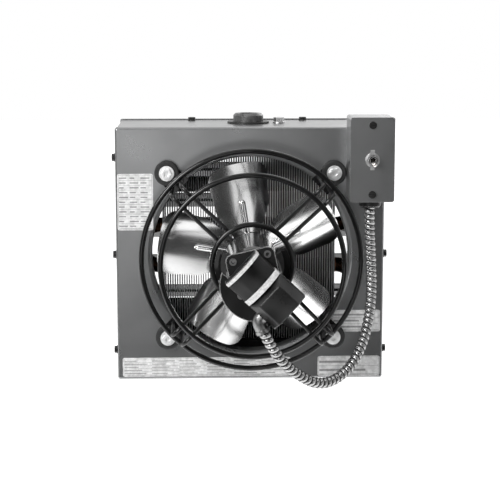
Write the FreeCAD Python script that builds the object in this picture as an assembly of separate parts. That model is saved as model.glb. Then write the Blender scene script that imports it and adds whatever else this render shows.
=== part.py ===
import FreeCAD, Part
import math
import os
from FreeCAD import Vector

# Unit heater, millimetres. Origin at the mouth of the top pipe hub, Z up, air blows towards +Y.
# "Out" is measured from the rear panel towards the motor (-Y); x and z of the fan side start at the fan axis.

# Case
CASE_WIDTH = 330.0
CASE_HEIGHT = 314.0
CASE_DEPTH = 139.0
HUB_SETBACK = 85.5
SHEET = 1.2
EDGE_RADIUS = 3.0
REAR_FLANGE = 14.0
NEST_GAP = 0.05

# Fan opening
GUARD_SIDE_ROOM = 32.6
GUARD_TOP_ROOM = 24.6
THROAT_INSET = 11.4
LIP_RADIUS = 5.0
LIP_DEPTH = 20.0

# Front frame and louvers
FRAME_PROUD = 11.0
FRAME_FLANGE = 24.0
FRAME_LIP = 9.0
CHEEK_INSET = 16.0
LOUVER_COUNT = 7
LOUVER_MARGIN = 32.6
LOUVER_RISE = 11.5
LOUVER_TIP_GAP = 2.2
LOUVER_SHEET = 1.2
LOUVER_TILT_DEG = 35.0
LOUVER_BEAD_RADIUS = 2.6
LOUVER_PIN_RADIUS = 2.0
LOUVER_SETBACK = 10.0
PIN_CLEARANCE = 0.08
PIN_TAIL = 3.0
LOUVER_END_GAP = 1.0

# Coil
COIL_SIDE_ROOM = 114.0
COIL_TOP_ROOM = 74.0
COIL_DEPTH = 40.0
FIN_PITCH = 3.04
FIN_SHEET = 0.3
TUBE_ROWS = 4
TUBE_EDGE_ROOM = 29.6
TUBE_RISE = -1.1
TUBE_RADIUS = 9.5
TUBE_WALL = 0.9
COLLAR_WALL = 0.4
COIL_FIT = 0.05
END_PLATE_SHEET = 1.5
END_PLATE_DEPTH = 46.0
END_PLATE_FLANGE = 12.0
TUBE_STUB = 3.0
RISER_BEND = 14.0
RISER_GAP = 0.2

# Pipe hubs
HUB_RADIUS = 19.0
HUB_PROUD = 11.0
HUB_CHAMFER = 2.4
HUB_BORE_RADIUS = 12.1
HUB_NECK_RADIUS = 14.0
HUB_NECK = 4.0
HUB_BORE_DEPTH = 15.0
HUB_FLANGE_RADIUS = 26.5
HUB_FLANGE_SHEET = 2.0
HUB_HOLE_CLEARANCE = 0.3

# Screws and bolts of the case
SCREW_HEX_ACROSS = 8.0
SCREW_HEAD = 4.0
SCREW_WASHER_RADIUS = 5.2
SCREW_WASHER = 0.9
SCREW_SHANK_RADIUS = 1.9
SCREW_LENGTH = 9.0
SCREW_HOLE_CLEARANCE = 0.15
SIDE_SCREW_INSET = 37.0
SIDE_SCREW_SETBACK = 7.0
FRAME_SCREW_X = 72.0
FRAME_SCREW_SETBACK = 9.5
BRACKET_BOLT_X = 39.0
BRACKET_HEX_ACROSS = 12.0
BRACKET_HEAD = 5.6
BRACKET_FLANGE_RADIUS = 7.8
BRACKET_FLANGE = 1.4
BRACKET_SHANK_RADIUS = 3.9
BRACKET_LENGTH = 12.0

# Guard
RING_WIRE_RADIUS = 3.15
SPOKE_WIRE_RADIUS = 2.4
OUTER_RING_OUT = 45.8
MIDDLE_RING_INSET = 24.0
MIDDLE_RING_OUT = 89.3
MOTOR_RING_RADIUS = 48.0
MOTOR_RING_OUT = 73.7
SPOKE_SPACING = 16.5
SPOKE_BEND = 9.0
WELD_GAP = 0.08
SPOKE_INSET = 3.0
GUARD_ARMS = 4
GUARD_ARM_DEG = 45.0
FOOT_SHEET = 2.5
FOOT_WIDTH = 27.0
FOOT_INNER_LAP = 7.0

# Corner mountings
BOLT_OUTSET = 11.85
GROMMET_RADIUS = 15.0
GROMMET_NECK_RADIUS = 8.0
GROMMET_BASE = 4.0
GROMMET_CAP = 4.5
GROMMET_EDGE = 1.5
GROMMET_FIT = 0.1
CORNER_FLANGE_RADIUS = 9.2
CORNER_FLANGE = 1.8
CORNER_HEX_ACROSS = 11.1
CORNER_HEAD = 5.0
CORNER_SOCKET_ACROSS = 6.0
CORNER_SOCKET = 2.5
CORNER_SHANK_RADIUS = 3.1
CORNER_BOLT_TAIL = 6.0
CORNER_NUT = 5.0

# Fan
FAN_TIP_GAP = 6.7
FAN_BLADES = 5
FAN_START_DEG = 27.0
FAN_OUT = 3.0
BLADE_SHEET = 1.4
BLADE_PITCH_DEG = 24.0
BLADE_CAMBER_RADIUS = 95.0
BLADE_ROOT_RADIUS = 22.0
BLADE_ROOT_WIDTH = 30.0
BLADE_SHOULDER_RADIUS = 58.0
BLADE_SHOULDER_WIDTH = 66.0
BLADE_TIP_WIDTH = 80.0
BLADE_TIP_CORNER = 17.0
BLADE_RIB_RADIUS = 4.2
BLADE_RIB_START = 30.0
BLADE_RIB_END = 65.0
SPIDER_RADIUS = 29.0
FAN_HUB_RADIUS = 13.0
FAN_HUB_LENGTH = 22.0
SET_SCREW_RADIUS = 3.0
SET_SCREW_OUT = 16.0

# Motor
MOTOR_RADIUS = 32.0
MOTOR_WALL = 1.8
MOTOR_FRONT_OUT = 30.0
MOTOR_REAR_OUT = 138.0
MOTOR_EDGE_RADIUS = 2.5
BELL_LENGTH = 16.0
SHAFT_RADIUS = 4.0
SHAFT_RUN_GAP = 0.03
SHAFT_FAN_TAIL = 4.0
SHAFT_REAR_GAP = 4.0
BEARING_RADIUS = 9.0
BEARING_LENGTH = 12.0
BEARING_BOSS_WALL = 3.0
ROTOR_RADIUS = 17.0
AIR_GAP = 0.4
STACK_LENGTH = 40.0
STATOR_FIT = 0.05
WINDING_LENGTH = 11.0
WINDING_WALL = 8.0
WINDING_GAP = 0.6
MOTOR_PLATE_SHEET = 2.5
MOTOR_PLATE_BORE = 37.5
NOTCH_RADIUS = 16.4
NOTCH_CENTRE = 47.0
NOTCH_COUNT = 4
ISOLATOR_ARC_DEG = 52.0
ISOLATOR_LENGTH = 14.0
REAR_PLATE_SHEET = 3.0
REAR_PLATE_EAR = 8.5
APRON_RADIUS = 42.0
APRON_SHIFT = 2.3
APRON_DROP = 12.6
APRON_INSET = 5.0
RIVET_CIRCLE = 28.5
RIVET_START_DEG = 58.0
RIVET_RADIUS = 4.2
RIVET_BORE = 2.2
RIVET_HEAD = 1.6
RIVET_SHANK = 2.8
RIVET_ROOM = 0.3

# Lead cover and conduit box on the motor
LEAD_ANGLE_DEG = 43.0
LEAD_OFFSET = 3.0
LEAD_START = 19.0
LEAD_END = 18.0
LEAD_WIDTH = 50.0
LEAD_HEIGHT = 27.0
LEAD_SHOULDER = 16.0
BAND_SHEET = 0.4
BAND_SEAT = 0.02
BAND_1_WIDTH = 4.0
BAND_2_WIDTH = 7.0
BAND_INSET = 1.0
TERMINAL_GAP = 0.1
TERMINAL_END = 58.0
TERMINAL_HEIGHT = 33.0
TERMINAL_STEP = 16.0
TERMINAL_WIDTH = 51.0
TERMINAL_TOP_START = 24.0
TERMINAL_TOP_END = 56.0
TERMINAL_TOP_WIDTH = 32.0
TERMINAL_EDGE = 2.5
TERMINAL_WALL = 2.2
LEAD_HOLE_RADIUS = 5.0

# Switch box
BOX_WIDTH = 53.2
BOX_HEIGHT = 101.4
BOX_DEPTH = 47.6
BOX_SHEET = 1.6
BOX_GAP = 0.5
BOX_TOP_INSET = 35.4
BOX_CORNER = 3.0
COVER_SCREW_INSET = 9.25
COVER_SCREW_RADIUS = 4.5
COVER_SCREW_HEAD = 2.6
COVER_SCREW_SHANK = 1.9
COVER_SCREW_LENGTH = 10.0
COVER_SCREW_SLOT = 1.0
COVER_EAR = 12.0
BOX_SCREW_SPACING = 40.0
BOX_SCREW_X_SHIFT = 10.0

# Toggle
BUSHING_RADIUS = 5.95
BUSHING_BORE = 3.4
BUSHING_PROUD = 8.0
NUT_ACROSS = 14.3
NUT_THICK = 2.4
WASHER_RADIUS = 8.8
WASHER_SHEET = 0.8
WASHER_TAB_WIDTH = 5.0
WASHER_TAB_REACH = 12.0
TOGGLE_BODY_WIDTH = 18.0
TOGGLE_BODY_HEIGHT = 30.0
TOGGLE_BODY_DEPTH = 22.0
LEVER_LENGTH = 20.0
LEVER_ROOT_RADIUS = 1.5
LEVER_TIP_RADIUS = 2.9
LEVER_BALL_RADIUS = 2.9
LEVER_PIN_RADIUS = 1.0
LEVER_PIN_REACH = 3.1
LEVER_PIVOT_DEPTH = 5.0
LEVER_TILT_DEG = 13.0
TOGGLE_FIT = 0.05

# Conduit and connectors
CONDUIT_RADIUS = 6.5
CONDUIT_ROOT = 5.5
CONDUIT_BORE = 4.6
CONDUIT_RIB_PITCH = 6.3
RIB_STATION_SHARES = (0.0, 0.22, 0.55, 0.8)
TURN_RUN_SHARE = 0.45
LOFT_STATIONS = 40
BOX_FITTING_RADIUS = 13.3
BOX_FITTING_LENGTH = 9.0
BOX_FITTING_CHAMFER = 2.0
BOX_FITTING_THREAD = 10.8
MOTOR_FITTING_RADIUS = 7.6
MOTOR_FITTING_LENGTH = 15.0
MOTOR_FITTING_STUB = 7.0
MOTOR_FITTING_HEIGHT = 9.0
MOTOR_FITTING_ALONG = 38.0
MOTOR_FITTING_TURN_DEG = 27.0
MOTOR_FITTING_BEND = 8.2
FITTING_BAND_RADIUS = 8.6
FITTING_BAND_LENGTH = 4.0
FITTING_NUT = 3.0
ROUTE_START_RUN = 28.5
ROUTE_SHARES = [(0.2814, 0.1347, -0.5197), (0.5237, 0.3011, -0.7165), (0.7748, 0.5071, -0.6094),
                (0.9343, 0.6973, -0.3084), (1.0185, 0.8637, 0.15), (1.0111, 0.9667, 0.7144)]
ROUTE_END_RUN = 24.0

# Places that follow from the sizes
HALF_W = CASE_WIDTH / 2
OUTER_RING_RADIUS = min(HALF_W - GUARD_SIDE_ROOM, CASE_HEIGHT / 2 - GUARD_TOP_ROOM)
MIDDLE_RING_RADIUS = OUTER_RING_RADIUS - MIDDLE_RING_INSET
THROAT_RADIUS = OUTER_RING_RADIUS - THROAT_INSET
FAN_RADIUS = THROAT_RADIUS - FAN_TIP_GAP
BOLT_PLACE = (OUTER_RING_RADIUS + BOLT_OUTSET) / math.sqrt(2)
LOUVER_PITCH = (CASE_HEIGHT - LOUVER_MARGIN) / LOUVER_COUNT
LOUVER_CHORD = LOUVER_PITCH - LOUVER_TIP_GAP
COIL_WIDTH = CASE_WIDTH - COIL_SIDE_ROOM
COIL_HEIGHT = CASE_HEIGHT - COIL_TOP_ROOM
TUBE_PITCH = (COIL_HEIGHT - TUBE_EDGE_ROOM) / TUBE_ROWS
SIDE_SCREW_SPACING = CASE_HEIGHT / 2 - SIDE_SCREW_INSET
BOX_X = BOLT_PLACE + GROMMET_RADIUS + BOX_GAP + BOX_WIDTH / 2
BOX_RISE = CASE_HEIGHT / 2 - BOX_TOP_INSET
RISER_DROP = RISER_BEND + HUB_NECK + RISER_GAP
REAR_Y = -HUB_SETBACK
FRONT_Y = REAR_Y + CASE_DEPTH
TOP_Z = -HUB_PROUD
BOTTOM_Z = TOP_Z - CASE_HEIGHT
AXIS_Z = (TOP_Z + BOTTOM_Z) / 2
SKIN = SHEET + NEST_GAP
INNER_W = HALF_W - SKIN - SHEET
ROOF_Z = TOP_Z - SKIN
FLOOR_Z = BOTTOM_Z + SKIN
OUTWARD = Vector(0, -1, 0)
UP = Vector(0, 0, 1)
ACROSS = Vector(1, 0, 0)
FULL_TURN_DEG = 360.0
FOOT_OUT = GROMMET_BASE
FOOT_FACE_OUT = FOOT_OUT + FOOT_SHEET
HEAD_OUT = FOOT_FACE_OUT + GROMMET_CAP
LEAD_BASE_OUT = MOTOR_REAR_OUT + REAR_PLATE_SHEET
COVER_OUT = BOX_DEPTH + BOX_SHEET
LOUVER_Y = FRONT_Y - LOUVER_SETBACK
CHEEK_X = INNER_W - CHEEK_INSET
END_PLATE_X = COIL_WIDTH / 2 + NEST_GAP


def at(x, out, z):
    """Point on the fan side: x and z from the fan axis, out from the rear panel."""
    return Vector(x, REAR_Y - out, AXIS_Z + z)


def block(x0, x1, y0, y1, z0, z1):
    return Part.makeBox(x1 - x0, y1 - y0, z1 - z0, Vector(x0, y0, z0))


def rod(radius, start, end):
    return Part.makeCylinder(radius, (end - start).Length, start, end - start)


def tube(outer, inner, start, end):
    return rod(outer, start, end).cut(rod(inner, start, end))


def polygon(points):
    return Part.Face(Part.makePolygon(points + points[:1]))


def hexagon(across, height, base, axis):
    """Hexagonal prism with the given width across its flats."""
    corner = across / math.sqrt(3)
    turns = [math.pi * k / 3 for k in range(6)]
    prism = polygon([Vector(corner * math.cos(a), corner * math.sin(a), 0) for a in turns])
    prism = prism.extrude(Vector(0, 0, height))
    prism.Placement = FreeCAD.Placement(base, FreeCAD.Rotation(UP, axis))
    return prism


def spun(points):
    """Solid of revolution about the fan axis from (radius, out) points."""
    face = polygon([at(radius, out, 0) for radius, out in points])
    return face.revolve(at(0, 0, 0), OUTWARD, FULL_TURN_DEG)


def turned(shape, degrees):
    """Copy turned about the fan axis, counter-clockwise as seen from the motor side."""
    copy = shape.copy()
    copy.rotate(at(0, 0, 0), OUTWARD, degrees)
    return copy


def group(solids):
    return Part.makeCompound(solids)


def fused(solids):
    return solids[0].multiFuse(solids[1:]).removeSplitter()


def path_of(points, radii):
    """Edges along the points, with a tangent arc of the given radius at each inner point."""
    edges = []
    last = points[0]
    for before, corner, after, radius in zip(points, points[1:], points[2:], radii):
        back = (before - corner).normalize()
        ahead = (after - corner).normalize()
        half = back.getAngle(ahead) / 2
        reach = radius / math.tan(half)
        enter = corner + back * reach
        leave = corner + ahead * reach
        middle = corner + (back + ahead).normalize() * (radius / math.sin(half) - radius)
        if not enter.isEqual(last, NEST_GAP):
            edges.append(Part.makeLine(last, enter))
            last = enter
        edges.append(Part.Arc(last, middle, leave).toShape())
        last = leave
    if not points[-1].isEqual(last, NEST_GAP):
        edges.append(Part.makeLine(last, points[-1]))
    return edges


def swept(edges, radius):
    """Round bar along a path."""
    start = edges[0].valueAt(edges[0].FirstParameter)
    ahead = edges[0].tangentAt(edges[0].FirstParameter)
    ring = Part.Wire(Part.makeCircle(radius, start, ahead))
    return Part.Wire(edges).makePipeShell([ring], True, False)


def swept_tube(points, radii, outer, wall):
    edges = path_of(points, radii)
    return swept(edges, outer).cut(swept(edges, outer - wall))


def screw_head(base, axis):
    """Hex washer head that stands on a face."""
    washer = Part.makeCylinder(SCREW_WASHER_RADIUS, SCREW_WASHER, base, axis)
    return washer.fuse(hexagon(SCREW_HEX_ACROSS, SCREW_HEAD, base, axis)).removeSplitter()


def case_screw(base, axis):
    shank = Part.makeCylinder(SCREW_SHANK_RADIUS, SCREW_LENGTH, base, axis * -1)
    return screw_head(base, axis).fuse(shank)


def screw_hole(base, axis):
    radius = SCREW_SHANK_RADIUS + SCREW_HOLE_CLEARANCE
    return rod(radius, base + axis * SCREW_LENGTH, base - axis * SCREW_LENGTH)


SIDE_SCREWS = [(Vector(side * HALF_W, REAR_Y + SIDE_SCREW_SETBACK, AXIS_Z + row * SIDE_SCREW_SPACING), ACROSS * side)
               for side in (-1, 1) for row in (-1, 0, 1)]
FRAME_SCREWS = [(Vector(side * FRAME_SCREW_X, FRONT_Y - FRAME_SCREW_SETBACK, ROOF_Z), UP) for side in (-1, 1)]
CORNERS = [(x * BOLT_PLACE, z * BOLT_PLACE) for x in (-1, 1) for z in (-1, 1)]
BOX_SCREWS = [(BOX_X - BOX_SCREW_X_SHIFT, BOX_RISE + row * BOX_SCREW_SPACING / 2) for row in (-1, 1)]
LOUVER_ROWS = [AXIS_Z + LOUVER_RISE + LOUVER_PITCH * ((LOUVER_COUNT - 1) / 2 - k) for k in range(LOUVER_COUNT)]
TUBE_ROWS_Z = [AXIS_Z + TUBE_RISE + TUBE_PITCH * ((TUBE_ROWS - 1) / 2 - k) for k in range(TUBE_ROWS)]
HUBS = [(TOP_Z, ROOF_Z - SHEET, UP), (BOTTOM_Z, FLOOR_Z + SHEET, UP * -1)]
RISER_RUNS_Z = [inner - axis.z * RISER_DROP for face, inner, axis in HUBS]


def cut_all(shape, tools):
    return shape.cut(Part.makeCompound(tools)) if len(tools) > 1 else shape.cut(tools[0])


def rear_panel():
    """Pan with turned flanges and a formed, rolled fan opening."""
    def pan(inset, radius):
        box = block(-HALF_W + inset, HALF_W - inset, REAR_Y + inset, REAR_Y + REAR_FLANGE,
                    BOTTOM_Z + inset, TOP_Z - inset)
        rim = REAR_Y + REAR_FLANGE
        edges = [e for e in box.Edges if any(v.Point.y < rim - SHEET for v in e.Vertexes)]
        return box.makeFillet(radius, edges)
    panel = pan(0, EDGE_RADIUS).cut(pan(SHEET, EDGE_RADIUS - SHEET))
    panel = panel.cut(rod(THROAT_RADIUS + LIP_RADIUS, at(0, SHEET, 0), at(0, -REAR_FLANGE, 0)))
    wide = THROAT_RADIUS + LIP_RADIUS
    slant = math.sqrt(2) / 2
    inner = LIP_RADIUS - SHEET
    p = [at(wide, 0, 0), at(wide - LIP_RADIUS * slant, LIP_RADIUS * slant - LIP_RADIUS, 0),
         at(THROAT_RADIUS, -LIP_RADIUS, 0), at(THROAT_RADIUS, -LIP_DEPTH, 0),
         at(THROAT_RADIUS + SHEET, -LIP_DEPTH, 0), at(THROAT_RADIUS + SHEET, -LIP_RADIUS, 0),
         at(wide - inner * slant, inner * slant - LIP_RADIUS, 0), at(wide, -SHEET, 0)]
    outline = [Part.Arc(p[0], p[1], p[2]).toShape(), Part.makeLine(p[2], p[3]), Part.makeLine(p[3], p[4]),
               Part.makeLine(p[4], p[5]), Part.Arc(p[5], p[6], p[7]).toShape(), Part.makeLine(p[7], p[0])]
    lip = Part.Face(Part.Wire(outline)).revolve(at(0, 0, 0), OUTWARD, FULL_TURN_DEG)
    panel = panel.fuse(lip).removeSplitter()
    holes = [screw_hole(*s) for s in SIDE_SCREWS]
    holes += [rod(CORNER_SHANK_RADIUS + GROMMET_FIT, at(x, SHEET, z), at(x, -REAR_FLANGE, z)) for x, z in CORNERS]
    holes += [screw_hole(at(x, 0, z), OUTWARD) for x, z in BOX_SCREWS]
    return cut_all(panel, holes)


def case_wrapper():
    """Wrapped sheet: top, bottom and both sides in one bent piece."""
    def sleeve(inset, radius):
        box = block(-HALF_W + inset, HALF_W - inset, REAR_Y + EDGE_RADIUS, FRONT_Y, BOTTOM_Z + inset, TOP_Z - inset)
        along = [e for e in box.Edges if abs(e.tangentAt(e.FirstParameter).y) > abs(e.tangentAt(e.FirstParameter).x)
                 + abs(e.tangentAt(e.FirstParameter).z)]
        return box.makeFillet(radius, along)
    wrap = sleeve(SKIN, EDGE_RADIUS - SHEET).cut(sleeve(SKIN + SHEET, EDGE_RADIUS - 2 * SHEET))
    holes = [screw_hole(*s) for s in SIDE_SCREWS + FRAME_SCREWS]
    holes += [rod(HUB_NECK_RADIUS + HUB_HOLE_CLEARANCE, Vector(0, 0, face), Vector(0, 0, inner) - axis * SHEET)
              for face, inner, axis in HUBS]
    holes.append(rod(BRACKET_SHANK_RADIUS + SCREW_HOLE_CLEARANCE, Vector(BRACKET_BOLT_X, 0, TOP_Z),
                     Vector(BRACKET_BOLT_X, 0, ROOF_Z - BRACKET_LENGTH)))
    return cut_all(wrap, holes)


def front_frame():
    """Frame inside the wrapper's mouth with cheeks that carry the louver pins."""
    back = FRONT_Y - FRAME_FLANGE
    face = FRONT_Y + FRAME_PROUD
    wide = INNER_W - NEST_GAP
    top = ROOF_Z - SHEET - NEST_GAP
    low = FLOOR_Z + SHEET + NEST_GAP
    lip = FRAME_LIP
    band = block(-wide, wide, back, face, low, top)
    band = band.cut(block(-wide + SHEET, wide - SHEET, back, face, low + SHEET, top - SHEET))
    plate = block(-wide, wide, face - SHEET, face, low, top)
    plate = plate.cut(block(-CHEEK_X, CHEEK_X, face - SHEET, face, low + lip, top - lip))
    cheeks = [block(min(s * CHEEK_X, s * (CHEEK_X + SHEET)), max(s * CHEEK_X, s * (CHEEK_X + SHEET)),
                    back, face, low, top) for s in (-1, 1)]
    frame = fused([band, plate] + cheeks)
    bore = LOUVER_PIN_RADIUS + PIN_CLEARANCE
    holes = [rod(bore, Vector(s * CHEEK_X - SHEET * 2, LOUVER_Y, z), Vector(s * CHEEK_X + SHEET * 2, LOUVER_Y, z))
             for z in LOUVER_ROWS for s in (-1, 1)]
    return cut_all(frame, holes + [screw_hole(*s) for s in FRAME_SCREWS])


def louver(z):
    """Blade with rounded edges, a rolled bead on its pivot and a pin at each end."""
    reach = CHEEK_X - LOUVER_END_GAP
    half = LOUVER_CHORD / 2 - LOUVER_SHEET / 2
    start = Vector(-reach, LOUVER_Y, z)
    end = Vector(reach, LOUVER_Y, z)
    blade = block(-reach, reach, LOUVER_Y - half, LOUVER_Y + half, z - LOUVER_SHEET / 2, z + LOUVER_SHEET / 2)
    edges = [rod(LOUVER_SHEET / 2, start + Vector(0, s * half, 0), end + Vector(0, s * half, 0)) for s in (-1, 1)]
    tail = CHEEK_X + SHEET + PIN_TAIL
    pin = rod(LOUVER_PIN_RADIUS, Vector(-tail, LOUVER_Y, z), Vector(tail, LOUVER_Y, z))
    shape = fused([blade, rod(LOUVER_BEAD_RADIUS, start, end), pin] + edges)
    shape.rotate(Vector(0, LOUVER_Y, z), ACROSS, -LOUVER_TILT_DEG)
    return shape


def coil_fins():
    """Plate fins on collars, pressed up against each other into one pack."""
    half = COIL_WIDTH / 2
    count = int(COIL_WIDTH / FIN_PITCH)
    first = -(count - 1) * FIN_PITCH / 2
    tall = COIL_HEIGHT / 2
    plates = [block(first + k * FIN_PITCH - FIN_SHEET / 2, first + k * FIN_PITCH + FIN_SHEET / 2,
                    -COIL_DEPTH / 2, COIL_DEPTH / 2, AXIS_Z - tall, AXIS_Z + tall) for k in range(count)]
    bore = TUBE_RADIUS + COIL_FIT
    collars = [rod(bore + COLLAR_WALL, Vector(-half, 0, z), Vector(half, 0, z)) for z in TUBE_ROWS_Z]
    pack = plates[0].multiFuse(plates[1:] + collars)
    return cut_all(pack, [rod(bore, Vector(-half, 0, z), Vector(half, 0, z)) for z in TUBE_ROWS_Z])


def coil_tubes():
    reach = END_PLATE_X + END_PLATE_SHEET + TUBE_STUB
    return group([tube(TUBE_RADIUS, TUBE_RADIUS - TUBE_WALL, Vector(-reach, 0, z), Vector(reach, 0, z))
                  for z in TUBE_ROWS_Z])


def coil_return_bends():
    """Half-round bends that join the rows, right and left in turn."""
    reach = END_PLATE_X + END_PLATE_SHEET + TUBE_STUB
    bends = []
    for k, (upper, lower) in enumerate(zip(TUBE_ROWS_Z, TUBE_ROWS_Z[1:])):
        side = 1 if k % 2 == 0 else -1
        turn = TUBE_PITCH / 2
        points = [Vector(side * reach, 0, upper), Vector(side * (reach + turn), 0, upper),
                  Vector(side * (reach + turn), 0, lower), Vector(side * reach, 0, lower)]
        bends.append(swept_tube(points, [turn, turn], TUBE_RADIUS, TUBE_WALL))
    return group(bends)


def coil_risers():
    """Pipes from the hubs over and under the fin pack to the first and last rows."""
    reach = END_PLATE_X + END_PLATE_SHEET + TUBE_STUB
    pipes = []
    for (face, inner, axis), row, run in zip(HUBS, (TUBE_ROWS_Z[0], TUBE_ROWS_Z[-1]), RISER_RUNS_Z):
        turn = abs(run - row) / 2
        points = [Vector(-reach, 0, row), Vector(-reach - turn, 0, row), Vector(-reach - turn, 0, run),
                  Vector(0, 0, run), Vector(0, 0, face - axis.z * (HUB_BORE_DEPTH - HUB_PROUD))]
        pipes.append(swept_tube(points, [turn, turn, RISER_BEND], TUBE_RADIUS, TUBE_WALL))
    return group(pipes)


def coil_end_plates():
    """Tube sheets with turned feet that stand between the case's roof and floor."""
    low = FLOOR_Z + SHEET + NEST_GAP
    top = ROOF_Z - SHEET - NEST_GAP
    plates = []
    for side in (-1, 1):
        near = side * END_PLATE_X
        far = side * (END_PLATE_X + END_PLATE_SHEET)
        foot = side * (END_PLATE_X + END_PLATE_FLANGE)
        deep = END_PLATE_DEPTH / 2
        web = block(min(near, far), max(near, far), -deep, deep, low, top)
        feet = [block(min(near, foot), max(near, foot), -deep, deep, z, z + END_PLATE_SHEET)
                for z in (low, top - END_PLATE_SHEET)]
        plate = fused([web] + feet)
        rows = TUBE_ROWS_Z + (RISER_RUNS_Z if side < 0 else [])
        plates.append(cut_all(plate, [rod(TUBE_RADIUS + COIL_FIT, Vector(near - side * SHEET, 0, z),
                                          Vector(far + side * SHEET, 0, z)) for z in rows]))
    return group(plates)


def pipe_hub(face, inner, axis):
    """Threaded pipe hub that stands on the case, with a neck through the sheet."""
    mouth = Vector(0, 0, face + axis.z * HUB_PROUD)
    seat = Vector(0, 0, face - axis.z * (SKIN - HUB_FLANGE_SHEET))
    tail = Vector(0, 0, inner - axis.z * HUB_NECK)
    floor = mouth - axis * HUB_BORE_DEPTH
    brow = mouth - axis * HUB_CHAMFER
    crown = Part.makeCone(HUB_RADIUS, HUB_RADIUS - HUB_CHAMFER, HUB_CHAMFER, brow, axis)
    body = rod(HUB_RADIUS, seat, brow).fuse([crown, rod(HUB_NECK_RADIUS, tail, seat)])
    body = body.cut(rod(HUB_BORE_RADIUS, floor, mouth))
    return body.cut(rod(TUBE_RADIUS + COIL_FIT, tail, floor)).removeSplitter()


def pipe_flanges():
    """Round flange under each hub, lying on the case."""
    rings = []
    for face, inner, axis in HUBS:
        base = Vector(0, 0, face - axis.z * SKIN)
        bore = HUB_NECK_RADIUS + HUB_HOLE_CLEARANCE
        rings.append(tube(HUB_FLANGE_RADIUS, bore, base, base + axis * HUB_FLANGE_SHEET))
    return group(rings)


def bracket_bolt():
    base = Vector(BRACKET_BOLT_X, 0, ROOF_Z)
    head = Part.makeCylinder(BRACKET_FLANGE_RADIUS, BRACKET_FLANGE, base, UP)
    head = head.fuse(hexagon(BRACKET_HEX_ACROSS, BRACKET_FLANGE + BRACKET_HEAD, base, UP))
    return head.fuse(rod(BRACKET_SHANK_RADIUS, base - UP * BRACKET_LENGTH, base)).removeSplitter()


def guard_ring(radius, out):
    return Part.makeTorus(radius, RING_WIRE_RADIUS, at(0, out, 0), OUTWARD)


def spoke_stations():
    """Run of one spoke as (along, out): under the motor ring, under the middle ring, down to its foot."""
    side = SPOKE_SPACING / 2
    along = [math.sqrt(r * r - side * side) for r in (MOTOR_RING_RADIUS, MIDDLE_RING_RADIUS)]
    rise = math.atan2(MIDDLE_RING_OUT - MOTOR_RING_OUT, along[1] - along[0])
    drop = (RING_WIRE_RADIUS + SPOKE_WIRE_RADIUS + WELD_GAP) / math.cos(rise)
    slope = math.tan(rise)
    inside = OUTER_RING_RADIUS - RING_WIRE_RADIUS - SPOKE_WIRE_RADIUS - WELD_GAP
    leg = math.sqrt(inside * inside - side * side)
    start = along[0] - SPOKE_INSET
    def out_of(u):
        return MOTOR_RING_OUT - drop + (u - along[0]) * slope
    return [(start, out_of(start)), (leg, out_of(leg)), (leg, FOOT_FACE_OUT + WELD_GAP)]


def guard_spokes():
    side = SPOKE_SPACING / 2
    wires = []
    for s in (-side, side):
        points = [at(u, out, s) for u, out in spoke_stations()]
        wires.append(swept(path_of(points, [SPOKE_BEND]), SPOKE_WIRE_RADIUS))
    step = FULL_TURN_DEG / GUARD_ARMS
    return group([turned(w, GUARD_ARM_DEG + k * step) for k in range(GUARD_ARMS) for w in wires])


def guard_feet():
    """Straps from the spoke ends to the corner bolts, held in the grommet grooves."""
    reach = BOLT_PLACE * math.sqrt(2)
    half = FOOT_WIDTH / 2
    inner = spoke_stations()[-1][0] - FOOT_INNER_LAP
    strap = block(inner, reach, REAR_Y - FOOT_FACE_OUT, REAR_Y - FOOT_OUT, AXIS_Z - half, AXIS_Z + half)
    end = rod(half, at(reach, FOOT_OUT, 0), at(reach, FOOT_FACE_OUT, 0))
    hole = rod(GROMMET_NECK_RADIUS + GROMMET_FIT, at(reach, FOOT_OUT, 0), at(reach, FOOT_FACE_OUT, 0))
    foot = strap.fuse(end).cut(hole).removeSplitter()
    step = FULL_TURN_DEG / GUARD_ARMS
    return group([turned(foot, GUARD_ARM_DEG + k * step) for k in range(GUARD_ARMS)])


def grommets():
    """Rubber spools with a groove for the foot."""
    bore = CORNER_SHANK_RADIUS + GROMMET_FIT
    low = FOOT_OUT - GROMMET_FIT / 2
    high = FOOT_FACE_OUT + GROMMET_FIT / 2
    edge = GROMMET_RADIUS - GROMMET_EDGE
    spool = spun([(bore, 0), (GROMMET_RADIUS, 0), (GROMMET_RADIUS, low), (GROMMET_NECK_RADIUS, low),
                  (GROMMET_NECK_RADIUS, high), (GROMMET_RADIUS, high), (GROMMET_RADIUS, HEAD_OUT - GROMMET_EDGE),
                  (edge, HEAD_OUT), (bore, HEAD_OUT)])
    return group([spool.translated(Vector(x, 0, z)) for x, z in CORNERS])


def corner_bolts():
    bolts = []
    for x, z in CORNERS:
        seat = at(x, HEAD_OUT, z)
        flange = Part.makeCylinder(CORNER_FLANGE_RADIUS, CORNER_FLANGE, seat, OUTWARD)
        head = hexagon(CORNER_HEX_ACROSS, CORNER_FLANGE + CORNER_HEAD, seat, OUTWARD)
        top = at(x, HEAD_OUT + CORNER_FLANGE + CORNER_HEAD - CORNER_SOCKET, z)
        shank = rod(CORNER_SHANK_RADIUS, at(x, -SHEET - CORNER_BOLT_TAIL, z), seat)
        bolt = fused([flange, head, shank])
        bolts.append(bolt.cut(hexagon(CORNER_SOCKET_ACROSS, CORNER_SOCKET, top, OUTWARD)))
    return group(bolts)


def corner_nuts():
    nuts = []
    for x, z in CORNERS:
        nut = hexagon(CORNER_HEX_ACROSS, CORNER_NUT, at(x, -SHEET - CORNER_NUT, z), OUTWARD)
        nuts.append(nut.cut(rod(CORNER_SHANK_RADIUS, at(x, -SHEET - CORNER_NUT, z), at(x, 0, z))))
    return group(nuts)


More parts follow.
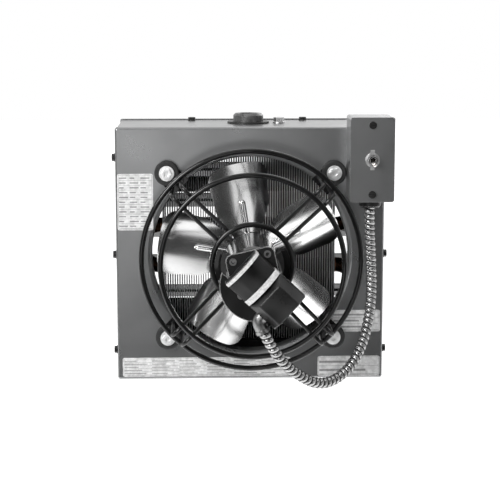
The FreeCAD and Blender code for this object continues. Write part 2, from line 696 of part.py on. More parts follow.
def fan_blades():
    """One stamping: a spider disc with pitched, cambered paddles and a raised rib at each root."""
    deep = FAN_RADIUS
    rows = [(BLADE_ROOT_RADIUS, BLADE_ROOT_WIDTH), (BLADE_SHOULDER_RADIUS, BLADE_SHOULDER_WIDTH),
            (FAN_RADIUS + BLADE_TIP_CORNER, BLADE_TIP_WIDTH)]
    sides = [at(r, FAN_OUT - deep / 2, w / 2) for r, w in rows]
    sides += [at(r, FAN_OUT - deep / 2, -w / 2) for r, w in rows[::-1]]
    paddle = polygon(sides).extrude(OUTWARD * deep)
    paddle = paddle.common(rod(FAN_RADIUS, at(0, FAN_OUT - deep / 2, 0), at(0, FAN_OUT + deep / 2, 0)))
    tips = [e for e in paddle.Edges if abs(e.tangentAt(e.FirstParameter).y) * 2 > 1
            and math.hypot(e.Vertexes[0].X, e.Vertexes[0].Z - AXIS_Z) > FAN_RADIUS - BLADE_SHEET]
    paddle = paddle.makeFillet(BLADE_TIP_CORNER, tips)
    drop = FAN_OUT - BLADE_CAMBER_RADIUS
    sheet = tube(BLADE_CAMBER_RADIUS + BLADE_SHEET / 2, BLADE_CAMBER_RADIUS - BLADE_SHEET / 2,
                 at(0, drop, 0), at(FAN_RADIUS, drop, 0))
    keep = BLADE_TIP_WIDTH
    sheet = sheet.common(block(0, FAN_RADIUS, REAR_Y - FAN_OUT - keep / 2, REAR_Y - FAN_OUT + keep / 2,
                               AXIS_Z - keep, AXIS_Z + keep))
    rib = rod(BLADE_RIB_RADIUS, at(BLADE_RIB_START, FAN_OUT, 0), at(BLADE_RIB_END, FAN_OUT, 0))
    caps = [Part.makeSphere(BLADE_RIB_RADIUS, at(r, FAN_OUT, 0)) for r in (BLADE_RIB_START, BLADE_RIB_END)]
    sheet.rotate(at(0, FAN_OUT, 0), ACROSS, BLADE_PITCH_DEG)
    blade = fused([sheet.common(paddle), rib] + caps)
    spider = rod(SPIDER_RADIUS, at(0, FAN_OUT - BLADE_SHEET / 2, 0), at(0, FAN_OUT + BLADE_SHEET / 2, 0))
    step = FULL_TURN_DEG / FAN_BLADES
    wheel = spider.multiFuse([turned(blade, FAN_START_DEG + k * step) for k in range(FAN_BLADES)])
    hole = rod(FAN_HUB_RADIUS, at(0, FAN_OUT - deep, 0), at(0, FAN_OUT + deep, 0))
    return wheel.removeSplitter().cut(hole)


def fan_hub():
    start = FAN_OUT - BLADE_SHEET / 2
    barrel = rod(FAN_HUB_RADIUS, at(0, start, 0), at(0, start + FAN_HUB_LENGTH, 0))
    barrel = barrel.cut(rod(SHAFT_RADIUS, at(0, start, 0), at(0, start + FAN_HUB_LENGTH, 0)))
    return barrel.cut(rod(SET_SCREW_RADIUS, at(0, SET_SCREW_OUT, 0), at(0, SET_SCREW_OUT, FAN_HUB_RADIUS)))


def fan_set_screw():
    return rod(SET_SCREW_RADIUS, at(0, SET_SCREW_OUT, SHAFT_RADIUS), at(0, SET_SCREW_OUT, FAN_HUB_RADIUS))


MOTOR_MID = (MOTOR_FRONT_OUT + MOTOR_REAR_OUT) / 2
SHELL_FRONT = MOTOR_FRONT_OUT + BELL_LENGTH
INNER_MOTOR = MOTOR_RADIUS - MOTOR_WALL
FRONT_BEARING = MOTOR_FRONT_OUT + MOTOR_WALL
REAR_BEARING = MOTOR_REAR_OUT - MOTOR_WALL - BEARING_LENGTH


def motor_shell():
    edge = MOTOR_EDGE_RADIUS
    return spun([(INNER_MOTOR, SHELL_FRONT), (MOTOR_RADIUS, SHELL_FRONT), (MOTOR_RADIUS, MOTOR_REAR_OUT - edge),
                 (MOTOR_RADIUS - edge, MOTOR_REAR_OUT), (BEARING_RADIUS, MOTOR_REAR_OUT),
                 (BEARING_RADIUS, REAR_BEARING), (BEARING_RADIUS + BEARING_BOSS_WALL, REAR_BEARING),
                 (BEARING_RADIUS + BEARING_BOSS_WALL, MOTOR_REAR_OUT - MOTOR_WALL),
                 (INNER_MOTOR, MOTOR_REAR_OUT - MOTOR_WALL)])


def motor_front_bell():
    boss = BEARING_RADIUS + BEARING_BOSS_WALL
    edge = MOTOR_EDGE_RADIUS
    return spun([(BEARING_RADIUS, MOTOR_FRONT_OUT), (MOTOR_RADIUS - edge, MOTOR_FRONT_OUT),
                 (MOTOR_RADIUS, MOTOR_FRONT_OUT + edge), (MOTOR_RADIUS, SHELL_FRONT), (INNER_MOTOR, SHELL_FRONT),
                 (INNER_MOTOR, MOTOR_FRONT_OUT + MOTOR_WALL), (boss, MOTOR_FRONT_OUT + MOTOR_WALL),
                 (boss, FRONT_BEARING + BEARING_LENGTH), (BEARING_RADIUS, FRONT_BEARING + BEARING_LENGTH)])


def motor_bearings():
    return group([tube(BEARING_RADIUS, SHAFT_RADIUS + SHAFT_RUN_GAP, at(0, out, 0), at(0, out + BEARING_LENGTH, 0))
                  for out in (FRONT_BEARING, REAR_BEARING)])


def motor_stator():
    half = STACK_LENGTH / 2
    bore = ROTOR_RADIUS + AIR_GAP
    return tube(INNER_MOTOR - STATOR_FIT, bore, at(0, MOTOR_MID - half, 0), at(0, MOTOR_MID + half, 0))


def motor_windings():
    half = STACK_LENGTH / 2
    inner = ROTOR_RADIUS + AIR_GAP + WINDING_GAP
    return group([tube(inner + WINDING_WALL, inner, at(0, start, 0), at(0, start + WINDING_LENGTH, 0))
                  for start in (MOTOR_MID - half - WINDING_LENGTH, MOTOR_MID + half)])


def motor_rotor():
    half = STACK_LENGTH / 2
    return tube(ROTOR_RADIUS, SHAFT_RADIUS, at(0, MOTOR_MID - half, 0), at(0, MOTOR_MID + half, 0))


def motor_shaft():
    start = FAN_OUT - BLADE_SHEET / 2 - SHAFT_FAN_TAIL
    return rod(SHAFT_RADIUS, at(0, start, 0), at(0, MOTOR_REAR_OUT - SHAFT_REAR_GAP, 0))


def but_highest(solids):
    """All of these solids but the highest, so that the top of the motor ring stays open."""
    return sorted(solids, key=lambda solid: solid.CenterOfMass.z)[:-1]


def motor_plate():
    """Sectors inside the motor ring at its sides and foot, with a lens-shaped gap on each diagonal."""
    low = MOTOR_RING_OUT - MOTOR_PLATE_SHEET / 2
    high = MOTOR_RING_OUT + MOTOR_PLATE_SHEET / 2
    rim = MOTOR_RING_RADIUS - RING_WIRE_RADIUS - WELD_GAP
    disc = tube(rim, MOTOR_PLATE_BORE, at(0, low, 0), at(0, high, 0))
    notch = rod(NOTCH_RADIUS, at(NOTCH_CENTRE, low, 0), at(NOTCH_CENTRE, high, 0))
    step = FULL_TURN_DEG / NOTCH_COUNT
    disc = cut_all(disc, [turned(notch, GUARD_ARM_DEG + k * step) for k in range(NOTCH_COUNT)])
    return group(but_highest(disc.Solids))


def motor_isolators():
    """Rubber pads between the plate's bore and the motor shell, one to a sector."""
    low = MOTOR_RING_OUT - ISOLATOR_LENGTH / 2
    face = polygon([at(MOTOR_RADIUS, low, 0), at(MOTOR_PLATE_BORE, low, 0),
                    at(MOTOR_PLATE_BORE, low + ISOLATOR_LENGTH, 0), at(MOTOR_RADIUS, low + ISOLATOR_LENGTH, 0)])
    pad = face.revolve(at(0, 0, 0), OUTWARD, ISOLATOR_ARC_DEG)
    step = FULL_TURN_DEG / NOTCH_COUNT
    return group(but_highest([turned(pad, k * step - ISOLATOR_ARC_DEG / 2) for k in range(NOTCH_COUNT)]))


def rivet_places():
    step = FULL_TURN_DEG / NOTCH_COUNT
    angles = [math.radians(RIVET_START_DEG + k * step) for k in range(NOTCH_COUNT)]
    return [(RIVET_CIRCLE * math.cos(a), RIVET_CIRCLE * math.sin(a)) for a in angles]


def lead_point(along, across, height):
    """Point on the lead cover: along and across its axis, height above the motor's rear plate."""
    turn = math.radians(LEAD_ANGLE_DEG)
    side = across - LEAD_OFFSET
    return at(along * math.cos(turn) + side * math.sin(turn), LEAD_BASE_OUT + height,
              side * math.cos(turn) - along * math.sin(turn))


def rear_apron():
    """Round skirt of the rear plate below the lead cover, cut off straight under the cover."""
    low = MOTOR_REAR_OUT
    disc = rod(APRON_RADIUS, at(APRON_SHIFT, low, -APRON_DROP), at(APRON_SHIFT, LEAD_BASE_OUT, -APRON_DROP))
    reach = APRON_RADIUS * 2
    edge = APRON_INSET - LEAD_WIDTH / 2
    corners = [(-reach, edge), (reach, edge), (reach, edge - reach), (-reach, edge - reach)]
    keep = polygon([lead_point(along, across, -REAR_PLATE_SHEET) for along, across in corners])
    return disc.common(keep.extrude(OUTWARD * REAR_PLATE_SHEET))


def motor_rear_plate():
    """Rounded square plate with an ear at each rivet, and a skirt towards the conduit."""
    places = rivet_places()
    low = MOTOR_REAR_OUT
    high = MOTOR_REAR_OUT + REAR_PLATE_SHEET
    middle = polygon([at(x, low, z) for x, z in places]).extrude(OUTWARD * REAR_PLATE_SHEET)
    ears = [rod(REAR_PLATE_EAR, at(x, low, z), at(x, high, z)) for x, z in places]
    sides = []
    for (x0, z0), (x1, z1) in zip(places, places[1:] + places[:1]):
        length = math.hypot(x1 - x0, z1 - z0)
        nx, nz = (z1 - z0) / length * REAR_PLATE_EAR, -(x1 - x0) / length * REAR_PLATE_EAR
        sides.append(polygon([at(x0, low, z0), at(x1, low, z1), at(x1 + nx, low, z1 + nz),
                              at(x0 + nx, low, z0 + nz)]).extrude(OUTWARD * REAR_PLATE_SHEET))
    plate = fused([middle] + ears + sides + [rear_apron()])
    return cut_all(plate, [rod(RIVET_SHANK, at(x, low, z), at(x, high, z)) for x, z in places])


def motor_rivets():
    low = MOTOR_REAR_OUT
    seat = MOTOR_REAR_OUT + REAR_PLATE_SHEET
    rivets = []
    for x, z in rivet_places():
        rivet = rod(RIVET_RADIUS, at(x, seat, z), at(x, seat + RIVET_HEAD, z))
        rivet = rivet.fuse(rod(RIVET_SHANK, at(x, low, z), at(x, seat, z)))
        rivets.append(rivet.cut(rod(RIVET_BORE, at(x, low, z), at(x, seat + RIVET_HEAD, z))).removeSplitter())
    return group(rivets)


def saddle(start, end, grow):
    """Arched bar along the lead axis; grow widens and heightens its section."""
    half = LEAD_WIDTH / 2 + grow
    foot = [lead_point(start, -half, 0), lead_point(start, half, 0)]
    shoulder = [lead_point(start, half, LEAD_SHOULDER), lead_point(start, -half, LEAD_SHOULDER)]
    crown = lead_point(start, 0, LEAD_HEIGHT + grow)
    outline = [Part.makeLine(foot[0], foot[1]), Part.makeLine(foot[1], shoulder[0]),
               Part.Arc(shoulder[0], crown, shoulder[1]).toShape(), Part.makeLine(shoulder[1], foot[0])]
    return Part.Face(Part.Wire(outline)).extrude(lead_point(end, 0, 0) - lead_point(start, 0, 0))


def lead_cover():
    """Arched cover, open at the conduit box, with room for the rivet heads."""
    cover = saddle(-LEAD_START, LEAD_END, 0)
    cover = cover.cut(saddle(-LEAD_START + TERMINAL_WALL, LEAD_END, -TERMINAL_WALL))
    room = RIVET_HEAD + RIVET_ROOM
    return cut_all(cover, [rod(RIVET_RADIUS + RIVET_ROOM, at(x, LEAD_BASE_OUT, z), at(x, LEAD_BASE_OUT + room, z))
                           for x, z in rivet_places()])


def lead_cover_bands():
    """Two pale bands wrapped over the lead cover near its ends."""
    spans = [(BAND_INSET - LEAD_START, BAND_INSET - LEAD_START + BAND_1_WIDTH), (LEAD_END - BAND_2_WIDTH, LEAD_END)]
    return group([saddle(a, b, BAND_SHEET + BAND_SEAT).cut(saddle(a, b, BAND_SEAT)) for a, b in spans])


def terminal_solid(inset):
    """Moulded box with sloped sides and a flat top, shrunk by inset."""
    def ring(start, end, width, height):
        half = width / 2 - inset
        points = [lead_point(start + inset, -half, height), lead_point(end - inset, -half, height),
                  lead_point(end - inset, half, height), lead_point(start + inset, half, height)]
        return Part.makePolygon(points + points[:1])
    start = LEAD_END + TERMINAL_GAP
    base = ring(start, TERMINAL_END, TERMINAL_WIDTH, 0)
    step = ring(start, TERMINAL_END, TERMINAL_WIDTH, TERMINAL_STEP)
    top = ring(TERMINAL_TOP_START, TERMINAL_TOP_END, TERMINAL_TOP_WIDTH, TERMINAL_HEIGHT - inset)
    return Part.makeLoft([base, step], True, True).fuse(Part.makeLoft([step, top], True, True)).removeSplitter()


FITTING_FACE = lead_point(MOTOR_FITTING_ALONG, -TERMINAL_WIDTH / 2, MOTOR_FITTING_HEIGHT)
FITTING_ELBOW = lead_point(MOTOR_FITTING_ALONG, -TERMINAL_WIDTH / 2 - MOTOR_FITTING_STUB, MOTOR_FITTING_HEIGHT)
FITTING_AHEAD = Vector(math.sin(math.radians(MOTOR_FITTING_TURN_DEG)), 0,
                       -math.cos(math.radians(MOTOR_FITTING_TURN_DEG)))
FITTING_END = FITTING_ELBOW + FITTING_AHEAD * MOTOR_FITTING_LENGTH
BOX_FLOOR = at(BOX_X, BOX_DEPTH / 2, BOX_RISE - BOX_HEIGHT / 2)
BOX_FITTING_END = BOX_FLOOR - UP * BOX_FITTING_LENGTH


def motor_conduit_box():
    box = terminal_solid(0)
    long_edges = [e for e in box.Edges if all(v.Point.y < REAR_Y - LEAD_BASE_OUT - TERMINAL_STEP / 2
                                              for v in e.Vertexes)]
    box = box.makeFillet(TERMINAL_EDGE, long_edges)
    box = box.cut(terminal_solid(TERMINAL_WALL))
    inward = FITTING_FACE + (FITTING_FACE - FITTING_ELBOW) * (TERMINAL_WALL / MOTOR_FITTING_STUB)
    return box.cut(rod(LEAD_HOLE_RADIUS, FITTING_FACE, inward + (inward - FITTING_FACE)))


def motor_connector():
    """Elbowed squeeze fitting between the conduit box and the conduit."""
    path = path_of([FITTING_FACE, FITTING_ELBOW, FITTING_END], [MOTOR_FITTING_BEND])
    band = rod(FITTING_BAND_RADIUS, FITTING_END - FITTING_AHEAD * FITTING_BAND_LENGTH, FITTING_END)
    return swept(path, MOTOR_FITTING_RADIUS).fuse(band).cut(swept(path, CONDUIT_BORE)).removeSplitter()


def route_points():
    """Hand-laid run of the conduit from the motor connector to the switch box."""
    last = BOX_FITTING_END - UP * ROUTE_END_RUN
    span = last - FITTING_END
    middle = [FITTING_END + Vector(span.x * x, span.y * y, span.z * z) for x, y, z in ROUTE_SHARES]
    return [FITTING_END, FITTING_END + FITTING_AHEAD * ROUTE_START_RUN] + middle + [last, BOX_FITTING_END]


def conduit():
    """Ribbed metal conduit: straight runs joined by tangent arcs, ribs as short cones."""
    points = route_points()
    runs = [(b - a).Length for a, b in zip(points, points[1:])]
    turns = [(b - a).getAngle(c - b) for a, b, c in zip(points, points[1:], points[2:])]
    radii = [TURN_RUN_SHARE * min(r0, r1) / math.tan(turn / 2) for r0, r1, turn in zip(runs, runs[1:], turns)]
    print("conduit bend radii", [round(r) for r in radii])
    edges = path_of(points, radii)
    total = sum(e.Length for e in edges)
    print("conduit length", round(total))
    ribs = int(total / CONDUIT_RIB_PITCH)
    heights = [CONDUIT_ROOT, CONDUIT_RADIUS, CONDUIT_RADIUS, CONDUIT_ROOT]
    stations = [(k + share, height) for k in range(ribs) for share, height in zip(RIB_STATION_SHARES, heights)]
    stations.append((ribs, CONDUIT_ROOT))

    def ring(share, radius):
        """Circle square to the path at a share of its length, on a steady X axis."""
        left = total * share
        for edge in edges[:-1]:
            if left <= edge.Length:
                break
            left -= edge.Length
        else:
            edge = edges[-1]
        place = edge.getParameterByLength(min(left, edge.Length))
        ahead = edge.tangentAt(place)
        steady = (OUTWARD - ahead * OUTWARD.dot(ahead)).normalize()
        circle = Part.makeCircle(radius)
        facing = FreeCAD.Rotation(steady, ahead.cross(steady), ahead, "ZXY")
        circle.Placement = FreeCAD.Placement(edge.valueAt(place), facing)
        return Part.Wire(circle)
    faces = []
    for first in range(0, len(stations) - 1, LOFT_STATIONS):
        part = stations[first:first + LOFT_STATIONS + 1]
        faces += Part.makeLoft([ring(s / ribs, r) for s, r in part], False, True).Faces
        faces += Part.makeLoft([ring(s / ribs, CONDUIT_BORE) for s, r in part], False, True).Faces
    for s in (0, ribs):
        faces += Part.Face(ring(s / ribs, CONDUIT_ROOT)).cut(Part.Face(ring(s / ribs, CONDUIT_BORE))).Faces
    shell = Part.makeShell(faces)
    shell.sewShape()
    solid = Part.makeSolid(shell)
    solid.fix(NEST_GAP, NEST_GAP, NEST_GAP)
    if solid.Volume < 0:
        solid.reverse()
    return solid


def box_connector():
    """Dark bushing under the switch box that takes the conduit."""
    chamfer = BOX_FITTING_END + UP * BOX_FITTING_CHAMFER
    body = rod(BOX_FITTING_RADIUS, chamfer, BOX_FLOOR)
    cone = Part.makeCone(BOX_FITTING_RADIUS - BOX_FITTING_CHAMFER, BOX_FITTING_RADIUS, BOX_FITTING_CHAMFER,
                         BOX_FITTING_END, UP)
    inside = BOX_FLOOR + UP * (BOX_SHEET + FITTING_NUT)
    thread = rod(BOX_FITTING_THREAD, BOX_FLOOR, inside)
    nut = rod(BOX_FITTING_RADIUS, BOX_FLOOR + UP * BOX_SHEET, inside)
    return fused([body, cone, thread, nut]).cut(rod(CONDUIT_BORE, BOX_FITTING_END, inside)).removeSplitter()


def switch_box():
    """Drawn utility box, open towards the motor side, with an ear for each cover screw."""
    x0, x1 = BOX_X - BOX_WIDTH / 2, BOX_X + BOX_WIDTH / 2
    z0, z1 = AXIS_Z + BOX_RISE - BOX_HEIGHT / 2, AXIS_Z + BOX_RISE + BOX_HEIGHT / 2
    y0, y1 = REAR_Y - BOX_DEPTH, REAR_Y
    wall = BOX_SHEET
    outer = block(x0, x1, y0, y1, z0, z1)
    outer = outer.makeFillet(BOX_CORNER, [e for e in outer.Edges if abs(e.tangentAt(e.FirstParameter).y) * 2 > 1])
    box = outer.cut(block(x0 + wall, x1 - wall, y0, y1 - wall, z0 + wall, z1 - wall))
    ears = []
    for s in (-1, 1):
        edge = AXIS_Z + BOX_RISE + s * BOX_HEIGHT / 2 - s * wall / 2
        tip = edge - s * COVER_EAR
        half = COVER_EAR / 2
        ears.append(block(BOX_X - half, BOX_X + half, y0, y0 + wall, min(edge, tip), max(edge, tip)))
    box = fused([box] + ears)
    holes = [rod(COVER_SCREW_SHANK + SCREW_HOLE_CLEARANCE, at(BOX_X, BOX_DEPTH, z), at(BOX_X, BOX_DEPTH - wall, z))
             for z in cover_screw_rows()]
    holes += [rod(SCREW_SHANK_RADIUS + SCREW_HOLE_CLEARANCE, at(x, 0, z), at(x, wall, z)) for x, z in BOX_SCREWS]
    holes.append(rod(BOX_FITTING_THREAD + NEST_GAP, BOX_FLOOR, BOX_FLOOR + UP * wall))
    return cut_all(box, holes)


def cover_screw_rows():
    return [BOX_RISE + s * (BOX_HEIGHT / 2 - COVER_SCREW_INSET) for s in (-1, 1)]


def switch_cover():
    x0, x1 = BOX_X - BOX_WIDTH / 2, BOX_X + BOX_WIDTH / 2
    z0, z1 = AXIS_Z + BOX_RISE - BOX_HEIGHT / 2, AXIS_Z + BOX_RISE + BOX_HEIGHT / 2
    plate = block(x0, x1, REAR_Y - COVER_OUT, REAR_Y - BOX_DEPTH, z0, z1)
    plate = plate.makeFillet(BOX_CORNER, [e for e in plate.Edges if abs(e.tangentAt(e.FirstParameter).y) * 2 > 1])
    holes = [rod(COVER_SCREW_SHANK + SCREW_HOLE_CLEARANCE, at(BOX_X, BOX_DEPTH, z), at(BOX_X, COVER_OUT, z))
             for z in cover_screw_rows()]
    holes.append(rod(BUSHING_RADIUS + TOGGLE_FIT, at(BOX_X, BOX_DEPTH, BOX_RISE), at(BOX_X, COVER_OUT, BOX_RISE)))
    return cut_all(plate, holes)


def cover_screws():
    screws = []
    for z in cover_screw_rows():
        seat = at(BOX_X, COVER_OUT, z)
        top = at(BOX_X, COVER_OUT + COVER_SCREW_HEAD, z)
        shank = rod(COVER_SCREW_SHANK, at(BOX_X, COVER_OUT - COVER_SCREW_LENGTH, z), seat)
        head = rod(COVER_SCREW_RADIUS, seat, top).fuse(shank)
        half = COVER_SCREW_SLOT / 2
        slot = block(BOX_X - COVER_SCREW_RADIUS, BOX_X + COVER_SCREW_RADIUS, top.y, top.y + COVER_SCREW_SLOT,
                     top.z - half, top.z + half)
        screws.append(head.cut(slot).removeSplitter())
    return group(screws)


def box_screws():
    screws = []
    for x, z in BOX_SCREWS:
        seat = at(x, BOX_SHEET, z)
        shank = rod(SCREW_SHANK_RADIUS, at(x, BOX_SHEET - SCREW_LENGTH, z), seat)
        screws.append(screw_head(seat, OUTWARD).fuse(shank))
    return group(screws)


BUSHING_OUT = COVER_OUT + BUSHING_PROUD
PIVOT_OUT = BUSHING_OUT - LEVER_PIVOT_DEPTH


def toggle_body():
    """Switch body behind the cover with its threaded bushing through the cover."""
    back = BOX_DEPTH - TOGGLE_BODY_DEPTH
    wide, tall = TOGGLE_BODY_WIDTH / 2, TOGGLE_BODY_HEIGHT / 2
    middle = AXIS_Z + BOX_RISE
    case = block(BOX_X - wide, BOX_X + wide, REAR_Y - BOX_DEPTH, REAR_Y - back, middle - tall, middle + tall)
    bushing = rod(BUSHING_RADIUS, at(BOX_X, BOX_DEPTH, BOX_RISE), at(BOX_X, BUSHING_OUT, BOX_RISE))
    well = rod(BUSHING_BORE, at(BOX_X, PIVOT_OUT - BUSHING_BORE, BOX_RISE), at(BOX_X, BUSHING_OUT, BOX_RISE))
    return case.fuse(bushing).cut(well).removeSplitter()


def toggle_washer():
    """Keyed washer with a tab above and below."""
    low, high = COVER_OUT, COVER_OUT + WASHER_SHEET
    disc = rod(WASHER_RADIUS, at(BOX_X, low, BOX_RISE), at(BOX_X, high, BOX_RISE))
    tab = block(BOX_X - WASHER_TAB_WIDTH / 2, BOX_X + WASHER_TAB_WIDTH / 2, REAR_Y - high, REAR_Y - low,
                AXIS_Z + BOX_RISE - WASHER_TAB_REACH, AXIS_Z + BOX_RISE + WASHER_TAB_REACH)
    hole = rod(BUSHING_RADIUS + TOGGLE_FIT, at(BOX_X, low, BOX_RISE), at(BOX_X, high, BOX_RISE))
    return disc.fuse(tab).cut(hole).removeSplitter()


def toggle_nut():
    seat = at(BOX_X, COVER_OUT + WASHER_SHEET, BOX_RISE)
    nut = hexagon(NUT_ACROSS, NUT_THICK, seat, OUTWARD)
    return nut.cut(Part.makeCylinder(BUSHING_RADIUS + TOGGLE_FIT, NUT_THICK, seat, OUTWARD))


def toggle_lever():
    """Bat lever on its ball, at rest pointing down."""
    pivot = at(BOX_X, PIVOT_OUT, BOX_RISE)
    end = LEVER_LENGTH - LEVER_TIP_RADIUS
    bat = Part.makeCone(LEVER_ROOT_RADIUS, LEVER_TIP_RADIUS, end, pivot, OUTWARD)
    tip = Part.makeSphere(LEVER_TIP_RADIUS, pivot + OUTWARD * end)
    pin = rod(LEVER_PIN_RADIUS, pivot - ACROSS * LEVER_PIN_REACH, pivot + ACROSS * LEVER_PIN_REACH)
    lever = fused([Part.makeSphere(LEVER_BALL_RADIUS, pivot), bat, tip, pin])
    lever.rotate(pivot, ACROSS, LEVER_TILT_DEG)
    return lever


NODES = {
    "case_wrapper": case_wrapper(), "rear_panel": rear_panel(), "front_frame": front_frame(),
    "side_screws": group([case_screw(*s) for s in SIDE_SCREWS]),
    "frame_screws": group([case_screw(*s) for s in FRAME_SCREWS]),
    "coil_fins": coil_fins(), "coil_tubes": coil_tubes(), "coil_return_bends": coil_return_bends(),
    "coil_risers": coil_risers(), "coil_end_plates": coil_end_plates(),
    "supply_hub": pipe_hub(*HUBS[0]), "return_hub": pipe_hub(*HUBS[1]), "pipe_flanges": pipe_flanges(),
    "bracket_bolt": bracket_bolt(),
    "guard_outer_ring": guard_ring(OUTER_RING_RADIUS, OUTER_RING_OUT),
    "guard_middle_ring": guard_ring(MIDDLE_RING_RADIUS, MIDDLE_RING_OUT),
    "guard_motor_ring": guard_ring(MOTOR_RING_RADIUS, MOTOR_RING_OUT),
    "guard_spokes": guard_spokes(), "guard_feet": guard_feet(),
    "corner_grommets": grommets(), "corner_bolts": corner_bolts(), "corner_nuts": corner_nuts(),
    "fan_blades": fan_blades(), "fan_hub": fan_hub(), "fan_set_screw": fan_set_screw(),
    "motor_shaft": motor_shaft(), "motor_rotor": motor_rotor(), "motor_stator": motor_stator(),
    "motor_windings": motor_windings(), "motor_bearings": motor_bearings(), "motor_shell": motor_shell(),
    "motor_front_bell": motor_front_bell(), "motor_plate": motor_plate(), "motor_isolators": motor_isolators(),
    "motor_rear_plate": motor_rear_plate(), "motor_rivets": motor_rivets(),
    "lead_cover": lead_cover(), "lead_cover_bands": lead_cover_bands(), "motor_conduit_box": motor_conduit_box(),
    "motor_connector": motor_connector(), "conduit": conduit(), "box_connector": box_connector(),
    "switch_box": switch_box(), "switch_cover": switch_cover(), "cover_screws": cover_screws(),
    "box_screws": box_screws(), "toggle_body": toggle_body(), "toggle_washer": toggle_washer(),
    "toggle_nut": toggle_nut(), "toggle_lever": toggle_lever(),
}
for k, z in enumerate(LOUVER_ROWS):
    NODES[f"louver_{k + 1}"] = louver(z)

os.makedirs("parts", exist_ok=True)
for name, shape in NODES.items():
    shape.exportStep(f"parts/{name}.step")
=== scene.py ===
# Unit heater, dressed for rendering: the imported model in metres, with better materials and finer pieces.
import math

import bmesh
import bpy
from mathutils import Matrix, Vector


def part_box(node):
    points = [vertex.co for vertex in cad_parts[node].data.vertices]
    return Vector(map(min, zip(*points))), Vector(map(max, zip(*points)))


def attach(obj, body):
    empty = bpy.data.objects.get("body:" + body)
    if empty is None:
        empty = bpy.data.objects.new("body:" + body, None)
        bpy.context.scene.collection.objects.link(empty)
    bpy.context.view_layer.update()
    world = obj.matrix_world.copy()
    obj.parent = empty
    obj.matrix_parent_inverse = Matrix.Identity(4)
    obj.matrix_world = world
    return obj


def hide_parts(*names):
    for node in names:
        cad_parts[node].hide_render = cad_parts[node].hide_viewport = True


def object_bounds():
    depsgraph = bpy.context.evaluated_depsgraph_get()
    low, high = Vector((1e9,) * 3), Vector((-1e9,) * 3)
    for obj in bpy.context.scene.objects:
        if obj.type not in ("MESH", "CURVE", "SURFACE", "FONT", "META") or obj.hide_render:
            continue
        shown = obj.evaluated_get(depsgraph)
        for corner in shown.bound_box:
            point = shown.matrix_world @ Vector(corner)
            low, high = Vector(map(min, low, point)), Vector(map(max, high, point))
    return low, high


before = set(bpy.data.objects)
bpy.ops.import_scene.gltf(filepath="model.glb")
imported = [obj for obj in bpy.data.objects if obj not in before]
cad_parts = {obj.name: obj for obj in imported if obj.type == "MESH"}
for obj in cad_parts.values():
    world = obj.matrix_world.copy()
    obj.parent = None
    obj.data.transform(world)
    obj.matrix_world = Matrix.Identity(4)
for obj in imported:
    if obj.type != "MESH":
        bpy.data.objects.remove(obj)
CAD_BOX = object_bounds()

# Camera: place, the point it looks at, and its lens
CAMERA_PLACE = (-0.0580, -1.9355, 0.1404)
CAMERA_TARGET = (-0.0004, -0.0855, -0.1622)
CAMERA_LENS_MM = 109.6
CAMERA_SENSOR_MM = 36.0
CAMERA_NEAR = 0.02
CAMERA_FAR = 60.0

# Outer face of the rear panel
PANEL_Y = -0.0855

# Conduit: route from the motor's connector to the switch box, and its wound strip
CONDUIT_ROUTE = (
    (0.01039, -0.23550, -0.23324),
    (0.02333, -0.23550, -0.25863),
    (0.04802, -0.21850, -0.28684),
    (0.08041, -0.19750, -0.30714),
    (0.11399, -0.17150, -0.29609),
    (0.13532, -0.14750, -0.26505),
    (0.14657, -0.12650, -0.21777),
    (0.14558, -0.11350, -0.15956),
    (0.14410, -0.10930, -0.13010),
    (0.14410, -0.10930, -0.10610),
)
CONDUIT_ORDER = 3
CONDUIT_STEPS = 130
CONDUIT_SIDES = 36
CONDUIT_ROOT = 0.0046
CONDUIT_CREST = 0.0065
CONDUIT_PITCH = 0.0064
CONDUIT_SWELL_SHARE = 0.62
CONDUIT_GROOVE_SHARE = 0.13

# Stickers on the rear panel: left, right, low and high edges, seen from the motor side
STICKER_THICK = 0.00018
STICKER_CORNER = 0.0025
STICKER_SEAT = 0.00002
STICKERS = {
    "sticker_left": (-0.1627, -0.1190, -0.1371, -0.0675),
    "sticker_bottom": (-0.1587, 0.0500, -0.3214, -0.2974),
    "sticker_corner": (0.0840, 0.1616, -0.3221, -0.2966),
    "sticker_right": (0.1010, 0.1616, -0.2656, -0.2383),
}
CORNER_STEPS = 6

# Marks on the stickers: rows and columns of plain bars, inside a ruled border
MARK_ROWS = {
    "sticker_left": (11, 3),
    "sticker_bottom": (5, 6),
    "sticker_corner": (2, 1),
    "sticker_right": (3, 1),
}
MARK_THICK = 0.00003
MARK_MARGIN = 0.0022
MARK_HEIGHT_SHARE = 0.26
MARK_WIDTH_SHARE = 0.92
MARK_FILL_SHARES = (0.86, 0.62, 0.74, 0.48, 0.91, 0.55, 0.69)
BORDER_INSET = 0.0012
RULE_WIDTH = 0.00035

# Coil fins: rippled plates on sleeved tubes, from the solid pack's own box
FIN_COUNT = 71
FIN_PITCH = 0.00304
FIN_SHEET = 0.0006
FIN_RIPPLE = 0.00040
FIN_WAVES = 4
FIN_STEPS = 32
# Depth from each face of the fins that keeps their full colour; deeper in, painted shade
FIN_LIT_DEPTH = 0.0050
TUBE_ROWS_Z = (-0.0902, -0.1428, -0.1954, -0.2480)
SLEEVE_RADIUS = 0.00995
SLEEVE_SIDES = 40

# Louvers
LOUVER_COUNT = 7

# Dark tray under the coil, a sheet that paints shade over the coil's lower part: its profile in y and z, from
# the coil's rear foot to its raised front lip
TRAY_PROFILE = ((-0.0200, -0.2900), (0.0210, -0.2900), (0.0214, -0.2790), (0.0218, -0.2620))
TRAY_FOOT = -0.3225
TRAY_SHEET = 0.0009

# Hem turned up on the wrapper's front edge
HEM_HEIGHT = 0.0015
HEM_DEPTH = 0.0016
HEM_CORNER = 0.0025
HEM_BEVEL = 0.0004
HEM_BEVEL_STEPS = 3

